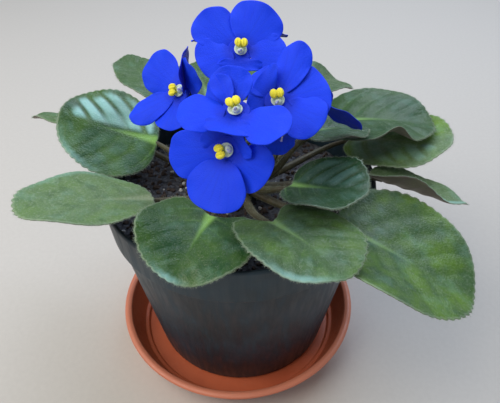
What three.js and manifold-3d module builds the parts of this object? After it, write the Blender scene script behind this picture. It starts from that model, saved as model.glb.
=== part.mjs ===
// A potted african violet: a rosette of crenate leaves and a bunch of blue blooms
// in a black nursery pot that stands on a round terracotta-coloured saucer.
// Millimetres, +Z up. The origin is the middle of the saucer's underside.
// Azimuths run from +X towards +Y, and the plant's front faces -Y.

import * as THREE from "three";
import { mergeVertices } from "three/addons/utils/BufferGeometryUtils.js";
import Module from "manifold-3d";

const wasm = await Module();
wasm.setup();

// Driving dimensions

const GAP = 0.3;
const ROUND_SIDES = 32;

const SAUCER = {
  height: 19,
  rimRadius: 60.3,
  rimInnerRadius: 56.7,
  rimDepth: 4,
  neckRadius: 57.6,
  shoulderRadius: 52.9,
  shoulderZ: 3.4,
  footRadius: 49.8,
  floor: 2.4,
  floorRadius: 48.9,
  ledgeOuter: 51.4,
  ledgeInner: 49.4,
  ledgeZ: 4.4,
  wall: 1.9,
  edge: 0.8,
};

const POT = {
  offsetX: 1.7,
  offsetY: 3.3,
  standsAt: SAUCER.floor + GAP,
  baseRadius: 44.8,
  collarZ: 79.3,
  bodyTopRadius: 56.7,
  collarRadius: 58.5,
  rimRadius: 60,
  rimZ: 97.6,
  wall: 1.5,
  edge: 1,
  drainHoles: 8,
  drainRadius: 3.5,
  drainCircle: 33,
  drainSides: 8,
};

const SOIL = {
  topZ: 84.5,
  mound: 1.2,
  ringRadii: [46, 34, 22, 11],
  bump: 0.7,
  bumpSpread: 0.45,
  holeDepth: 14,
};

const CROWN = { x: 2, y: 3, radius: 6.6, topZ: 102.5, sides: 12 };

// Leaves. at: the blade's base, where the petiole joins it. heading, rise and roll
// turn the blade. bend is how far it turns down from base to tip, in degrees. cup
// lifts both edges, curlRight lifts the right one, in millimetres. egg draws the blade
// to a point and lobe sets back its two base lobes. lift: how far the edge rises at one
// place, that place's turn from the tip and the spread of the rise, in degrees. from: the
// azimuth and height at which the petiole leaves the crown.

const LEAVES = [
  { name: "leaf_front_left", at: [-9.9, -31.4, 102.4], heading: -112, rise: 4, roll: 5,
    length: 32.9, width: 44.4, bend: 21, cup: 0.12, egg: 0.14, lobe: 0.17, from: [-112, 90.5] },
  { name: "leaf_front_right", at: [13.2, -40.9, 106.9], heading: -54, rise: 14, roll: 9,
    length: 37.7, width: 43.3, bend: 19, cup: -0.02, egg: 0.06, lobe: 0.27, from: [-78, 90.5] },
  { name: "leaf_right_low", at: [38, -34.2, 99.1], heading: -34, rise: -4, roll: 3,
    length: 57.3, width: 55.3, bend: 18, cup: 0.16, egg: 0.14, lobe: 0.1, from: [-44, 90.5] },
  { name: "leaf_right_young", at: [22, -20.8, 108], heading: -29, rise: 13, roll: -1,
    length: 30.7, width: 34.6, bend: 0, cup: 0.15, egg: -0.08, lobe: 0.1, from: [-60, 96] },
  { name: "leaf_left_long", at: [-33, -17, 100.2], heading: 204, rise: 19, roll: -5,
    length: 53, width: 38, bend: 6, cup: 0, egg: 0, lobe: -0.03, from: [-148, 90.5] },
  { name: "leaf_left_round", at: [-34.3, 15.5, 106.8], heading: 183, rise: 20, roll: 26,
    length: 42.9, width: 45.1, bend: 0, cup: -0.04, egg: 0.09, lobe: 0.03, fold: -0.08,
    lift: [3, -90, 35], from: [-176, 95.5] },
  { name: "leaf_back_right", at: [45.7, 21.3, 111.4], heading: -17, rise: 14, roll: -2,
    length: 44, width: 44.1, bend: 21, cup: 0.06, egg: 0.16, lobe: 0.17, lift: [7, 75, 14],
    from: [24, 96] },
  { name: "leaf_back_right_low", at: [56.7, 24.3, 100.3], heading: -36, rise: 15, roll: -10,
    length: 45.1, width: 40.8, bend: 0, cup: -0.06, egg: 0.02, lobe: 0.08, from: [20, 90.5] },
  { name: "leaf_right_inner", at: [28, -2.1, 120.2], heading: 12, rise: 2, roll: 7,
    length: 28, width: 28.6, bend: 12, cup: 0.08, egg: 0.11, lobe: 0.1, from: [-20, 96] },
  { name: "leaf_right_edge", at: [56.9, -7.2, 102], heading: -22, rise: -7, roll: 14,
    length: 41, width: 21.5, bend: 0, cup: 0.12, egg: 0.34, lobe: 0.04, curlRight: 3.5,
    lift: [2, 110, 30], from: [-12, 90.5] },
  { name: "leaf_far_left", at: [-59.2, 32.6, 102], heading: 155, rise: 3, roll: -21,
    length: 43.8, width: 24.5, bend: 9, cup: 0.03, egg: 0.07, lobe: 0.08, from: [158, 90.5] },
  { name: "leaf_back_left", at: [-33.6, 43.4, 114.5], heading: 128, rise: 13, roll: 1,
    length: 38.5, width: 24.5, bend: 8, cup: 0, egg: 0.11, lobe: 0.1, from: [124, 90.5] },
  { name: "leaf_back_right_high", at: [29.1, 53.6, 109.9], heading: 36, rise: 7, roll: -8,
    length: 42.8, width: 32.7, bend: 40, cup: 0.12, egg: 0.06, lobe: 0.08, from: [54, 90.5] },
  { name: "leaf_back", at: [-3, 48, 107], heading: 97, rise: 8, roll: 3,
    length: 42, width: 40, bend: 18, cup: 0.1, egg: 0.1, lobe: 0.12, from: [90, 90.5] },
  { name: "leaf_back_inner", at: [-10, 30, 116], heading: 108, rise: 22, roll: 0,
    length: 30, width: 28, bend: 12, cup: 0.15, egg: 0.1, lobe: 0.12, from: [108, 96] },
];

// Blooms. at: the middle of the throat. facing: the azimuth and elevation that the bloom
// looks along. spin turns the anthers and pistil about that line. Each petal is [turn,
// length, width, lift, curl, twist]: turn is counted from the bloom's upper side towards
// its right, lift tips the petal forward, curl bends it back and twist turns it about its
// own length, in degrees.

const BLOOMS = {
  front: { at: [-2, -43.6, 141.3], facing: [-121, 25], spin: 60, petals: [
    [55, 10, 12, 28, 5, 0], [-52, 10, 11, 32, 0, 0], [112, 23, 16, 5, 10, 0],
    [-110, 16.3, 16.3, 4, 9, 0], [180, 20.5, 21, 24, 8, 0]] },
  middle: { at: [0.6, -40.6, 153.2], facing: [-101, 73], spin: 150, petals: [
    [44, 14.6, 11.5, 12, 3, -48], [16, 15.8, 13.6, 24.5, 0, 0], [100, 18, 15, 2, 0, 0],
    [-114, 18.5, 16, 5, 0, 0], [172, 9.8, 17, 4, 8, 0]] },
  right: { at: [15.1, -24.5, 147.4], facing: [-101, 54], spin: 165, petals: [
    [35, 14, 13, 0, 0, 0], [59, 10.5, 20, 2, 5, -36], [-119, 17.8, 16.5, 7, 0, 0],
    [-66, 18, 20, -2, 0, 0], [-16, 22.8, 11.5, 3, 0, 0]] },
  top: { at: [3.1, -1.8, 155.6], facing: [-79, 54], spin: 190, petals: [
    [36, 20.3, 18, 4, 0, 0], [-38, 20.5, 20, 10, 0, 0], [102, 16.5, 17, 0, 0, 0],
    [-101, 17, 15, 6, 0, 0], [172, 8.5, 18, 8, 20, 0]] },
  left: { at: [-19.7, -2.7, 140.5], facing: [-137, 36], spin: 60, petals: [
    [-27, 18.8, 17.8, 49.7, 0, -32], [-55, 22.5, 12, 45, 7, 30], [78, 22, 17.2, 6, 0, 0],
    [-168, 16, 16, 15, 0, 0], [145, 23, 11, 18, 0, 0]] },
  low: { at: [16.4, -23.2, 136], facing: [-75, 0], spin: 180, petals: [
    [50, 8, 9, 60, 0, 0], [-50, 8, 9, 60, 0, 0], [110, 12, 11, 10, 0, 0],
    [-130, 8, 9, 10, 0, 0], [180, 11, 12, 5, 10, 0]] },
  far_right: { at: [30, -8, 139], facing: [70, 5], spin: 0, petals: [
    [60, 8, 9, 50, 0, 0], [-10, 9, 9, 50, 0, 0], [118, 22, 10, 0, 0, 30],
    [-120, 13, 12, 0, 0, 0], [-60, 13, 12, 10, 0, 0]] },
  back: { at: [3.5, 24, 150], facing: [95, 60], spin: 0, petals: [
    [35, 14, 13, 5, 0, 0], [-35, 14, 13, 5, 0, 0], [95, 20, 15, 0, 0, 0],
    [-95, 20, 15, 0, 0, 0], [180, 12, 15, 10, 0, 0]] },
};

// Bloom stalks. from: azimuth and height at the crown. fork: where it branches.

const STALKS = [
  { name: "stalk_front", from: [-96, 99], fork: [3.7, -15.6, 121.6],
    blooms: ["front", "middle", "low"] },
  { name: "stalk_top", from: [36, 99.5], fork: [7, 0, 130], blooms: ["top", "right", "back"] },
  { name: "stalk_left", from: [150, 99], fork: [-11, 3, 122], blooms: ["left"] },
  { name: "stalk_right", from: [-30, 100.5], fork: [20, -5, 121], blooms: ["far_right"] },
];

// Small vector helpers

const DEG = Math.PI / 180;
const X = 0;
const Y = 1;

function vec(x, y, z) {
  return new THREE.Vector3(x, y, z);
}

// Unit axes of something that points along a heading and rise, rolled about itself.
function axesOf(heading, rise, roll) {
  const a = heading * DEG;
  const e = rise * DEG;
  const r = roll * DEG;
  const along = vec(Math.cos(e) * Math.cos(a), Math.cos(e) * Math.sin(a), Math.sin(e));
  const level = vec(-Math.sin(e) * Math.cos(a), -Math.sin(e) * Math.sin(a), Math.cos(e));
  const side = along.clone().cross(level);
  const across = side.clone().multiplyScalar(Math.cos(r)).addScaledVector(level, Math.sin(r));
  const up = side.clone().multiplyScalar(-Math.sin(r)).addScaledVector(level, Math.cos(r));
  return { across, along, up };
}

// A smooth curve from start, leaving along one direction and arriving along another. The
// two pulls are the lengths of its handles, as parts of the span.
function bendBetween(start, leaving, end, arriving, steps, pullOut, pullIn) {
  const span = start.distanceTo(end);
  const curve = new THREE.CubicBezierCurve3(
    start,
    start.clone().addScaledVector(leaving, span * pullOut),
    end.clone().addScaledVector(arriving, -span * pullIn),
    end,
  );
  return curve.getPoints(steps);
}

// Solids: closed triangle meshes, joined and cut with manifold

const MERGE_DISTANCE = 1e-4;

function solidOf(positions, triangles) {
  const mesh = new wasm.Mesh({
    numProp: 3,
    vertProperties: new Float32Array(positions),
    triVerts: new Uint32Array(triangles),
  });
  return new wasm.Manifold(mesh);
}

function merged(geometry) {
  const bare = geometry.clone();
  bare.deleteAttribute("normal");
  bare.deleteAttribute("uv");
  return mergeVertices(bare, MERGE_DISTANCE);
}

function solidOfGeometry(geometry) {
  const whole = merged(geometry);
  return solidOf(whole.attributes.position.array, whole.index.array);
}

function geometryOf(solid) {
  const mesh = solid.getMesh();
  const geometry = new THREE.BufferGeometry();
  geometry.setAttribute("position", new THREE.BufferAttribute(mesh.vertProperties, 3));
  geometry.setIndex(new THREE.BufferAttribute(mesh.triVerts, 1));
  geometry.computeVertexNormals();
  return geometry;
}

// A round body turned about Z from [radius, height] pairs that start and end on the axis.
function turned(profile, sides = ROUND_SIDES) {
  const points = profile.map(([r, z]) => new THREE.Vector2(r, z));
  const lathe = new THREE.LatheGeometry(points, sides);
  lathe.rotateX(Math.PI / 2);
  return lathe;
}

// An upright round cutter with its middle at x, y, z.
function cutter(radius, height, sides, x, y, z) {
  const cylinder = new THREE.CylinderGeometry(radius, radius, height, sides);
  cylinder.rotateX(Math.PI / 2);
  cylinder.translate(x, y, z);
  return solidOfGeometry(cylinder);
}

// A closed round rod through points, its radius given at each point.
function rod(points, radii, sides) {
  const positions = [];
  const triangles = [];
  const last = points.length - 1;
  let side = null;
  points.forEach((point, i) => {
    const ahead = points[Math.min(i + 1, last)];
    const behind = points[Math.max(i - 1, 0)];
    const along = ahead.clone().sub(behind).normalize();
    if (side === null) {
      side = Math.abs(along.z) < 0.9 ? vec(0, 0, 1) : vec(1, 0, 0);
    }
    side = side.clone().addScaledVector(along, -side.dot(along)).normalize();
    const other = along.clone().cross(side);
    for (let k = 0; k < sides; k += 1) {
      const angle = (2 * Math.PI * k) / sides;
      const p = point.clone()
        .addScaledVector(side, radii[i] * Math.cos(angle))
        .addScaledVector(other, radii[i] * Math.sin(angle));
      positions.push(p.x, p.y, p.z);
    }
  });
  for (let i = 0; i < last; i += 1) {
    for (let k = 0; k < sides; k += 1) {
      const a = i * sides + k;
      const b = i * sides + ((k + 1) % sides);
      triangles.push(a, b, b + sides, a, b + sides, a + sides);
    }
  }
  for (let k = 1; k < sides - 1; k += 1) {
    triangles.push(0, k + 1, k);
    triangles.push(last * sides, last * sides + k, last * sides + k + 1);
  }
  return solidOf(positions, triangles);
}

// An egg of the given half-sizes along a frame's up, side and out.
function ball(centre, frame, radii) {
  const sphere = new THREE.SphereGeometry(1, 6, 4);
  sphere.scale(...radii);
  const turn = new THREE.Matrix4().makeBasis(frame.up, frame.side, frame.out);
  turn.setPosition(centre);
  sphere.applyMatrix4(turn);
  return solidOfGeometry(sphere);
}

// A thin plate in rings round a middle point. surface(angle, reach) gives a point of its
// middle face and thicknessAt(reach) its thickness there. Each ring has twice as many
// points as the one inside it, and both faces have the same triangles.
function plate(surface, rings, thicknessAt) {
  const middle = [surface(0, 0)];
  const halves = [thicknessAt(0) / 2];
  const starts = [];
  rings.forEach(({ reach, count }) => {
    starts.push(middle.length);
    for (let k = 0; k < count; k += 1) {
      middle.push(surface((2 * Math.PI * k) / count, reach));
      halves.push(thicknessAt(reach) / 2);
    }
  });
  const face = [];
  for (let k = 0; k < rings[0].count; k += 1) {
    face.push([0, 1 + k, 1 + ((k + 1) % rings[0].count)]);
  }
  for (let i = 1; i < rings.length; i += 1) {
    const inner = rings[i - 1].count;
    const outer = rings[i].count;
    const a = (k) => starts[i - 1] + (k % inner);
    const b = (k) => starts[i] + (k % outer);
    for (let k = 0; k < inner; k += 1) {
      face.push([a(k), b(2 * k), b(2 * k + 1)]);
      face.push([a(k), b(2 * k + 1), a(k + 1)]);
      face.push([a(k + 1), b(2 * k + 1), b(2 * k + 2)]);
    }
  }
  const normals = middle.map(() => vec(0, 0, 0));
  face.forEach(([i, j, k]) => {
    const u = middle[j].clone().sub(middle[i]);
    const v = middle[k].clone().sub(middle[i]);
    const n = u.cross(v);
    [i, j, k].forEach((m) => normals[m].add(n));
  });
  const positions = [];
  [1, -1].forEach((sign) => {
    middle.forEach((p, i) => {
      const q = p.clone().addScaledVector(normals[i].clone().normalize(), sign * halves[i]);
      positions.push(q.x, q.y, q.z);
    });
  });
  const total = middle.length;
  const triangles = [];
  face.forEach(([i, j, k]) => triangles.push(i, j, k, i + total, k + total, j + total));
  const edge = starts[starts.length - 1];
  const count = rings[rings.length - 1].count;
  for (let k = 0; k < count; k += 1) {
    const a = edge + k;
    const b = edge + ((k + 1) % count);
    triangles.push(a, a + total, b + total, a, b + total, b);
  }
  return solidOf(positions, triangles);
}

// Blades: the heart-shaped, scalloped leaf and the plain petal share one outline

const MIDDLE_OF_BLADE = 0.45;
const LOBE_ANGLE = 2.55;
const LOBE_SPREAD = 0.38;
const TEETH = 16;
const CURL_START = 0.3;

// The blade's flat outline at an angle from its tip.
function bladeOutline(angle, blade) {
  const turn = angle > Math.PI ? angle - 2 * Math.PI : angle;
  const scallop = 0.5 - 0.5 * Math.cos(TEETH * turn);
  const shrink = 1 - blade.toothDepth * scallop;
  const back = Math.exp(-(((Math.abs(turn) - LOBE_ANGLE) / LOBE_SPREAD) ** 2));
  const x = (blade.width / 2) * Math.sin(turn) * (1 - blade.egg * Math.cos(turn)) * shrink;
  const y = (blade.length / 2) * (1 + Math.cos(turn)) - blade.lobe * blade.length * back;
  const middle = MIDDLE_OF_BLADE * blade.length;
  return [x, middle + (y - middle) * shrink];
}

// Height of the blade over its bent middle plane.
function bladeHeight(x, angle, reach, blade) {
  const half = blade.width / 2;
  const edge = x / half;
  const right = Math.max(0, edge - CURL_START);
  const [lift, liftTurn, liftSpread] = blade.lift;
  const turn = angle > Math.PI ? angle - 2 * Math.PI : angle;
  const off = (turn / DEG - liftTurn) / liftSpread;
  return blade.cup * half * edge * edge
    + blade.fold * (Math.hypot(x, 1) - 1)
    + 2 * blade.curlRight * right * right
    + lift * reach ** 3 * Math.exp(-off * off)
    + blade.wave * reach ** 3 * Math.sin(blade.waves * angle + blade.phase);
}

function bladePoint(angle, reach, blade, axes, base) {
  const outline = bladeOutline(angle, blade);
  const middle = MIDDLE_OF_BLADE * blade.length;
  const x = outline[X] * reach;
  const y = middle + (outline[Y] - middle) * reach;
  const height = bladeHeight(x, angle, reach, blade);
  const radius = blade.length / (Math.max(blade.bend, 0.01) * DEG);
  const turn = Math.max(y, 0) / radius;
  const forward = y > 0 ? radius * Math.sin(turn) : y;
  const sunk = radius * (1 - Math.cos(turn));
  return base.clone()
    .addScaledVector(axes.across, x)
    .addScaledVector(axes.along, forward + height * Math.sin(turn))
    .addScaledVector(axes.up, height * Math.cos(turn) - sunk);
}

// Leaves: a blade on a petiole that leaves the crown

const NO_LIFT = [0, 0, 1];
const LEAF_FORM = {
  curlRight: 0, lift: NO_LIFT, fold: 0.12, wave: 0.8, waves: 5, phase: 0, toothDepth: 0.022,
};
const LEAF_THICKNESS = 1.2;
const LEAF_EDGE_THINNING = 0.3;
const LEAF_RINGS = [
  { reach: 0.33, count: 8 },
  { reach: 0.7, count: 16 },
  { reach: 1, count: 32 },
];
const PETIOLE = {
  steps: 6,
  sides: 5,
  crownRadius: 2.1,
  bladeRadius: 1,
  pull: 0.35,
  intoBlade: 4,
  underBlade: 0.9,
};
const CROWN_CLEARANCE = 0.7;

// Where a petiole or stalk meets the crown, and the way it leaves.
function crownStart([azimuth, z]) {
  const out = vec(Math.cos(azimuth * DEG), Math.sin(azimuth * DEG), 0);
  const start = vec(CROWN.x, CROWN.y, z).addScaledVector(out, CROWN.radius + CROWN_CLEARANCE);
  return { start, out };
}

function leafSolid(leaf) {
  const form = { ...LEAF_FORM, ...leaf };
  const axes = axesOf(leaf.heading, leaf.rise, leaf.roll);
  const base = vec(...leaf.at);
  const blade = plate(
    (angle, reach) => bladePoint(angle, reach, form, axes, base),
    LEAF_RINGS,
    (reach) => LEAF_THICKNESS * (1 - LEAF_EDGE_THINNING * reach),
  );
  const { start, out } = crownStart(leaf.from);
  const end = base.clone()
    .addScaledVector(axes.along, PETIOLE.intoBlade)
    .addScaledVector(axes.up, -PETIOLE.underBlade);
  const points = bendBetween(
    start,
    out,
    end,
    axes.along,
    PETIOLE.steps,
    PETIOLE.pull,
    PETIOLE.pull,
  );
  const taper = (PETIOLE.crownRadius - PETIOLE.bladeRadius) / PETIOLE.steps;
  const radii = points.map((_, i) => PETIOLE.crownRadius - taper * i);
  return blade.add(rod(points, radii, PETIOLE.sides));
}

// Blooms: a corolla of five petals on a short tube, a pair of anthers and a pistil

const PETAL_FORM = {
  egg: -0.2, lobe: 0, cup: -0.06, curlRight: 0, lift: NO_LIFT, fold: 0, wave: 0.5, waves: 3,
  toothDepth: 0,
};
const PETAL_THICKNESS = 0.8;
const PETAL_RINGS = [
  { reach: 0.5, count: 6 },
  { reach: 1, count: 12 },
];
const PETAL_START = 2.9;
const PETAL_LAYERS = [-0.7, -0.35, 0, 0, 0.35];
const TUBE_RADIUS = 1.9;
const TUBE_DEPTH = 3.6;
const HUB_RADIUS = 4.3;
const HUB_TOP = 0.3;
const THROAT_RADIUS = 2.3;
const THROAT_TOP = HUB_TOP + GAP + 0.6;

function bloomFrame(bloom) {
  const [azimuth, elevation] = bloom.facing;
  const axes = axesOf(azimuth, elevation, 0);
  return { middle: vec(...bloom.at), out: axes.along, up: axes.up, side: axes.across };
}

// The bloom's frame with its side and up turned about the way it faces.
function spunFrame(bloom) {
  const frame = bloomFrame(bloom);
  const c = Math.cos(bloom.spin * DEG);
  const s = Math.sin(bloom.spin * DEG);
  const up = frame.up.clone().multiplyScalar(c).addScaledVector(frame.side, -s);
  const side = frame.side.clone().multiplyScalar(c).addScaledVector(frame.up, s);
  return { ...frame, up, side };
}

function inBloom(frame, side, up, out) {
  return frame.middle.clone()
    .addScaledVector(frame.side, side)
    .addScaledVector(frame.up, up)
    .addScaledVector(frame.out, out);
}

function petalSolid(frame, petal, index) {
  const [turn, length, width, lift, curl, twist] = petal;
  const away = frame.up.clone().multiplyScalar(Math.cos(turn * DEG))
    .addScaledVector(frame.side, Math.sin(turn * DEG));
  const along = away.clone().multiplyScalar(Math.cos(lift * DEG))
    .addScaledVector(frame.out, Math.sin(lift * DEG));
  const level = frame.out.clone().multiplyScalar(Math.cos(lift * DEG))
    .addScaledVector(away, -Math.sin(lift * DEG));
  const up = level.clone().applyAxisAngle(along, twist * DEG);
  const axes = { along, up, across: along.clone().cross(up) };
  const form = { ...PETAL_FORM, length: length - PETAL_START, width, bend: curl, phase: index * 2 };
  const base = frame.middle.clone()
    .addScaledVector(away, PETAL_START)
    .addScaledVector(frame.out, PETAL_LAYERS[index]);
  return plate(
    (angle, reach) => bladePoint(angle, reach, form, axes, base),
    PETAL_RINGS,
    () => PETAL_THICKNESS,
  );
}

function corollaSolid(bloom) {
  const frame = bloomFrame(bloom);
  const tube = [-TUBE_DEPTH, -2, -1.2, HUB_TOP];
  const radii = [TUBE_RADIUS - GAP, TUBE_RADIUS, HUB_RADIUS, HUB_RADIUS];
  const hub = rod(tube.map((out) => inBloom(frame, 0, 0, out)), radii, 6);
  return bloom.petals.reduce(
    (corolla, petal, index) => corolla.add(petalSolid(frame, petal, index)),
    hub,
  );
}

// Two anthers side by side on one short filament.
function anthersSolid(bloom) {
  const frame = spunFrame(bloom);
  const heads = [-1, 1].map((hand) => (
    ball(inBloom(frame, hand * 1.1, -1.5, THROAT_TOP + 1.8), frame, [1.7, 1.3, 1.1])
  ));
  const filament = rod([
    inBloom(frame, 0, -1.2, THROAT_TOP + GAP),
    inBloom(frame, 0, -1.4, THROAT_TOP + 1.5),
  ], [0.6, 0.5], 4);
  return heads[0].add(heads[1]).add(filament);
}

// The pale throat with the ovary and style on it.
function pistilSolid(bloom) {
  const frame = spunFrame(bloom);
  const throat = rod(
    [HUB_TOP + GAP, THROAT_TOP].map((out) => inBloom(frame, 0, 0, out)),
    [THROAT_RADIUS - 0.2, THROAT_RADIUS],
    8,
  );
  const ovary = ball(inBloom(frame, 0, 1.1, THROAT_TOP + 0.5), frame, [1.1, 1.3, 1.1]);
  const style = rod([
    inBloom(frame, 0, 1.2, THROAT_TOP + 1),
    inBloom(frame, -0.9, 2.9, THROAT_TOP + 2.8),
  ], [0.45, 0.45], 3);
  return throat.add(ovary).add(style);
}

// Bloom stalks: a stem from the crown, a branch to each bloom and a calyx behind it

const STALK = {
  stemRadius: 1.25,
  stemTaper: 0.05,
  stemSteps: 6,
  stemPull: 0.38,
  branchRadius: 0.8,
  branchSteps: 4,
  branchPull: 0.15,
  sides: 5,
};
const CALYX = {
  seat: -TUBE_DEPTH - GAP,
  radius: 4,
  notch: 0.45,
  rise: 0.5,
  depth: 1.3,
};
const SEPALS = 5;
const SEPAL_RINGS = [
  { reach: 0.5, count: SEPALS },
  { reach: 1, count: 2 * SEPALS },
];
const INNER_SEPAL_POINT = 0.6;

// A star of thin sepals behind the bloom.
function calyxSolid(frame) {
  return plate((angle, reach) => {
    const point = reach < 1 ? INNER_SEPAL_POINT : 0.5 + 0.5 * Math.cos(SEPALS * angle);
    const r = CALYX.radius * reach * (CALYX.notch + (1 - CALYX.notch) * point);
    const out = CALYX.seat - CALYX.depth + CALYX.rise * r;
    return inBloom(frame, r * Math.sin(angle), r * Math.cos(angle), out);
  }, SEPAL_RINGS, () => PETAL_THICKNESS);
}

function branchSolid(fork, rise, frame) {
  const neck = inBloom(frame, 0, 0, CALYX.seat - 2 * CALYX.depth);
  const from = fork.clone().addScaledVector(rise, -1);
  const points = bendBetween(
    from,
    rise,
    neck,
    frame.out,
    STALK.branchSteps,
    STALK.stemPull,
    STALK.branchPull,
  );
  const radii = points.map(() => STALK.branchRadius);
  points.push(inBloom(frame, 0, 0, CALYX.seat - CALYX.depth), inBloom(frame, 0, 0, CALYX.seat));
  radii.push(1.75 * STALK.branchRadius, 2 * STALK.branchRadius);
  return rod(points, radii, STALK.sides);
}

function stalkSolid(stalk) {
  const { start, out } = crownStart(stalk.from);
  const fork = vec(...stalk.fork);
  const rise = fork.clone().sub(start).normalize().add(vec(0, 0, 0.6)).normalize();
  const pull = STALK.stemPull;
  const stem = bendBetween(start, out, fork, rise, STALK.stemSteps, pull, pull);
  const radii = stem.map((_, i) => STALK.stemRadius - STALK.stemTaper * i);
  return stalk.blooms.reduce((solid, name) => {
    const frame = bloomFrame(BLOOMS[name]);
    return solid.add(branchSolid(fork, rise, frame)).add(calyxSolid(frame));
  }, rod(stem, radii, STALK.sides));
}

// Saucer, pot, soil and crown

function saucerSolid() {
  const s = SAUCER;
  const neckZ = s.height - s.rimDepth;
  const profile = [
    [0, 0],
    [s.footRadius - s.edge, 0],
    [s.footRadius, s.edge],
    [s.shoulderRadius, s.shoulderZ],
    [s.neckRadius, neckZ],
    [s.rimRadius, s.height - 2 * s.edge],
    [s.rimRadius - s.edge / 2, s.height - s.edge / 2],
    [s.rimRadius - s.wall, s.height],
    [s.rimInnerRadius, s.height - s.edge],
    [s.neckRadius - s.wall, neckZ],
    [s.ledgeOuter, s.ledgeZ],
    [s.ledgeInner, s.ledgeZ - GAP],
    [s.floorRadius, s.floor],
    [0, s.floor],
  ];
  return solidOfGeometry(turned(profile));
}

function potSolid() {
  const p = POT;
  const z = p.standsAt;
  const profile = [
    [0, z],
    [p.baseRadius - p.edge, z],
    [p.baseRadius, z + p.edge],
    [p.bodyTopRadius, p.collarZ - p.edge],
    [p.collarRadius, p.collarZ],
    [p.rimRadius, p.rimZ - p.edge],
    [p.rimRadius - p.edge / 2, p.rimZ],
    [p.rimRadius - p.wall, p.rimZ],
    [p.collarRadius - p.wall, p.collarZ + p.edge],
    [p.bodyTopRadius - p.wall, p.collarZ - p.edge],
    [p.baseRadius - p.wall, z + p.wall + p.edge],
    [0, z + p.wall],
  ];
  let pot = solidOfGeometry(turned(profile));
  for (let i = 0; i < p.drainHoles; i += 1) {
    const angle = (2 * Math.PI * (i + 0.5)) / p.drainHoles;
    const x = p.drainCircle * Math.cos(angle);
    const y = p.drainCircle * Math.sin(angle);
    pot = pot.subtract(cutter(p.drainRadius, 4 * p.wall, p.drainSides, x, y, z));
  }
  return pot.translate([p.offsetX, p.offsetY, 0]);
}

function soilBump(radius, angle) {
  const along = radius * SOIL.bumpSpread;
  return SOIL.bump * Math.sin(along + 3 * angle) * Math.cos(5 * angle + along / 2);
}

// Potting soil that fills the pot to a little under its collar, with an uneven top.
function soilSolid() {
  const p = POT;
  const inner = (r) => r - p.wall - GAP;
  const floorZ = p.standsAt + p.wall + p.edge + GAP;
  const mound = (r) => SOIL.topZ + SOIL.mound * (1 - r / SOIL.ringRadii[0]);
  const profile = [
    [0, floorZ],
    [inner(p.baseRadius), floorZ],
    [inner(p.bodyTopRadius), p.collarZ - p.edge],
    [inner(p.collarRadius), p.collarZ + p.edge],
    [inner(p.collarRadius) + GAP, SOIL.topZ - 0.5],
    ...SOIL.ringRadii.map((r) => [r, mound(r)]),
    [0, mound(0)],
  ];
  const whole = merged(turned(profile));
  const position = whole.attributes.position;
  for (let i = 0; i < position.count; i += 1) {
    const x = position.getX(i);
    const y = position.getY(i);
    const z = position.getZ(i);
    const r = Math.hypot(x, y);
    if (z > SOIL.topZ - GAP && r > 1) {
      position.setZ(i, z + soilBump(r, Math.atan2(y, x)));
    }
  }
  const soil = solidOf(position.array, whole.index.array).translate([p.offsetX, p.offsetY, 0]);
  const bottom = SOIL.topZ - SOIL.holeDepth;
  const height = 2 * (SOIL.topZ - bottom);
  const radius = CROWN.radius + GAP;
  return soil.subtract(
    cutter(radius, height, CROWN.sides, CROWN.x, CROWN.y, bottom + height / 2),
  );
}

function crownSolid() {
  const c = CROWN;
  const bottom = SOIL.topZ - SOIL.holeDepth + GAP;
  const profile = [
    [0, bottom],
    [c.radius - 1.5, bottom],
    [c.radius, bottom + 3],
    [c.radius, c.topZ - 2],
    [c.radius - 2, c.topZ - 0.6],
    [0, c.topZ],
  ];
  return solidOfGeometry(turned(profile, c.sides)).translate([c.x, c.y, 0]);
}

// The plant, assembled

const MATERIALS = {
  terracotta: { color: 0xa85a40, roughness: 0.55 },
  blackPlastic: { color: 0x2b3236, roughness: 0.5 },
  soil: { color: 0x33302c, roughness: 1 },
  crown: { color: 0x6d6a4a, roughness: 0.8 },
  leaf: { color: 0x5c7d58, roughness: 0.75 },
  stalk: { color: 0x6a6248, roughness: 0.8 },
  petal: { color: 0x2444d8, roughness: 0.6 },
  anther: { color: 0xf0e24a, roughness: 0.7 },
  pistil: { color: 0xc6dcc8, roughness: 0.7 },
};

const plant = new THREE.Group();

function addPiece(name, solid, finish) {
  const material = new THREE.MeshStandardMaterial({ ...MATERIALS[finish], metalness: 0 });
  const mesh = new THREE.Mesh(geometryOf(solid), material);
  mesh.name = name;
  plant.add(mesh);
}

addPiece("saucer", saucerSolid(), "terracotta");
addPiece("pot", potSolid(), "blackPlastic");
addPiece("soil", soilSolid(), "soil");
addPiece("crown", crownSolid(), "crown");
LEAVES.forEach((leaf) => addPiece(leaf.name, leafSolid(leaf), "leaf"));
STALKS.forEach((stalk) => addPiece(stalk.name, stalkSolid(stalk), "stalk"));
Object.entries(BLOOMS).forEach(([name, bloom]) => {
  addPiece(`bloom_${name}`, corollaSolid(bloom), "petal");
  addPiece(`anthers_${name}`, anthersSolid(bloom), "anther");
  addPiece(`pistil_${name}`, pistilSolid(bloom), "pistil");
});

export default plant;
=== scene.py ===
import math

import bpy
import numpy as np
from mathutils import Matrix, Vector, noise


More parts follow.
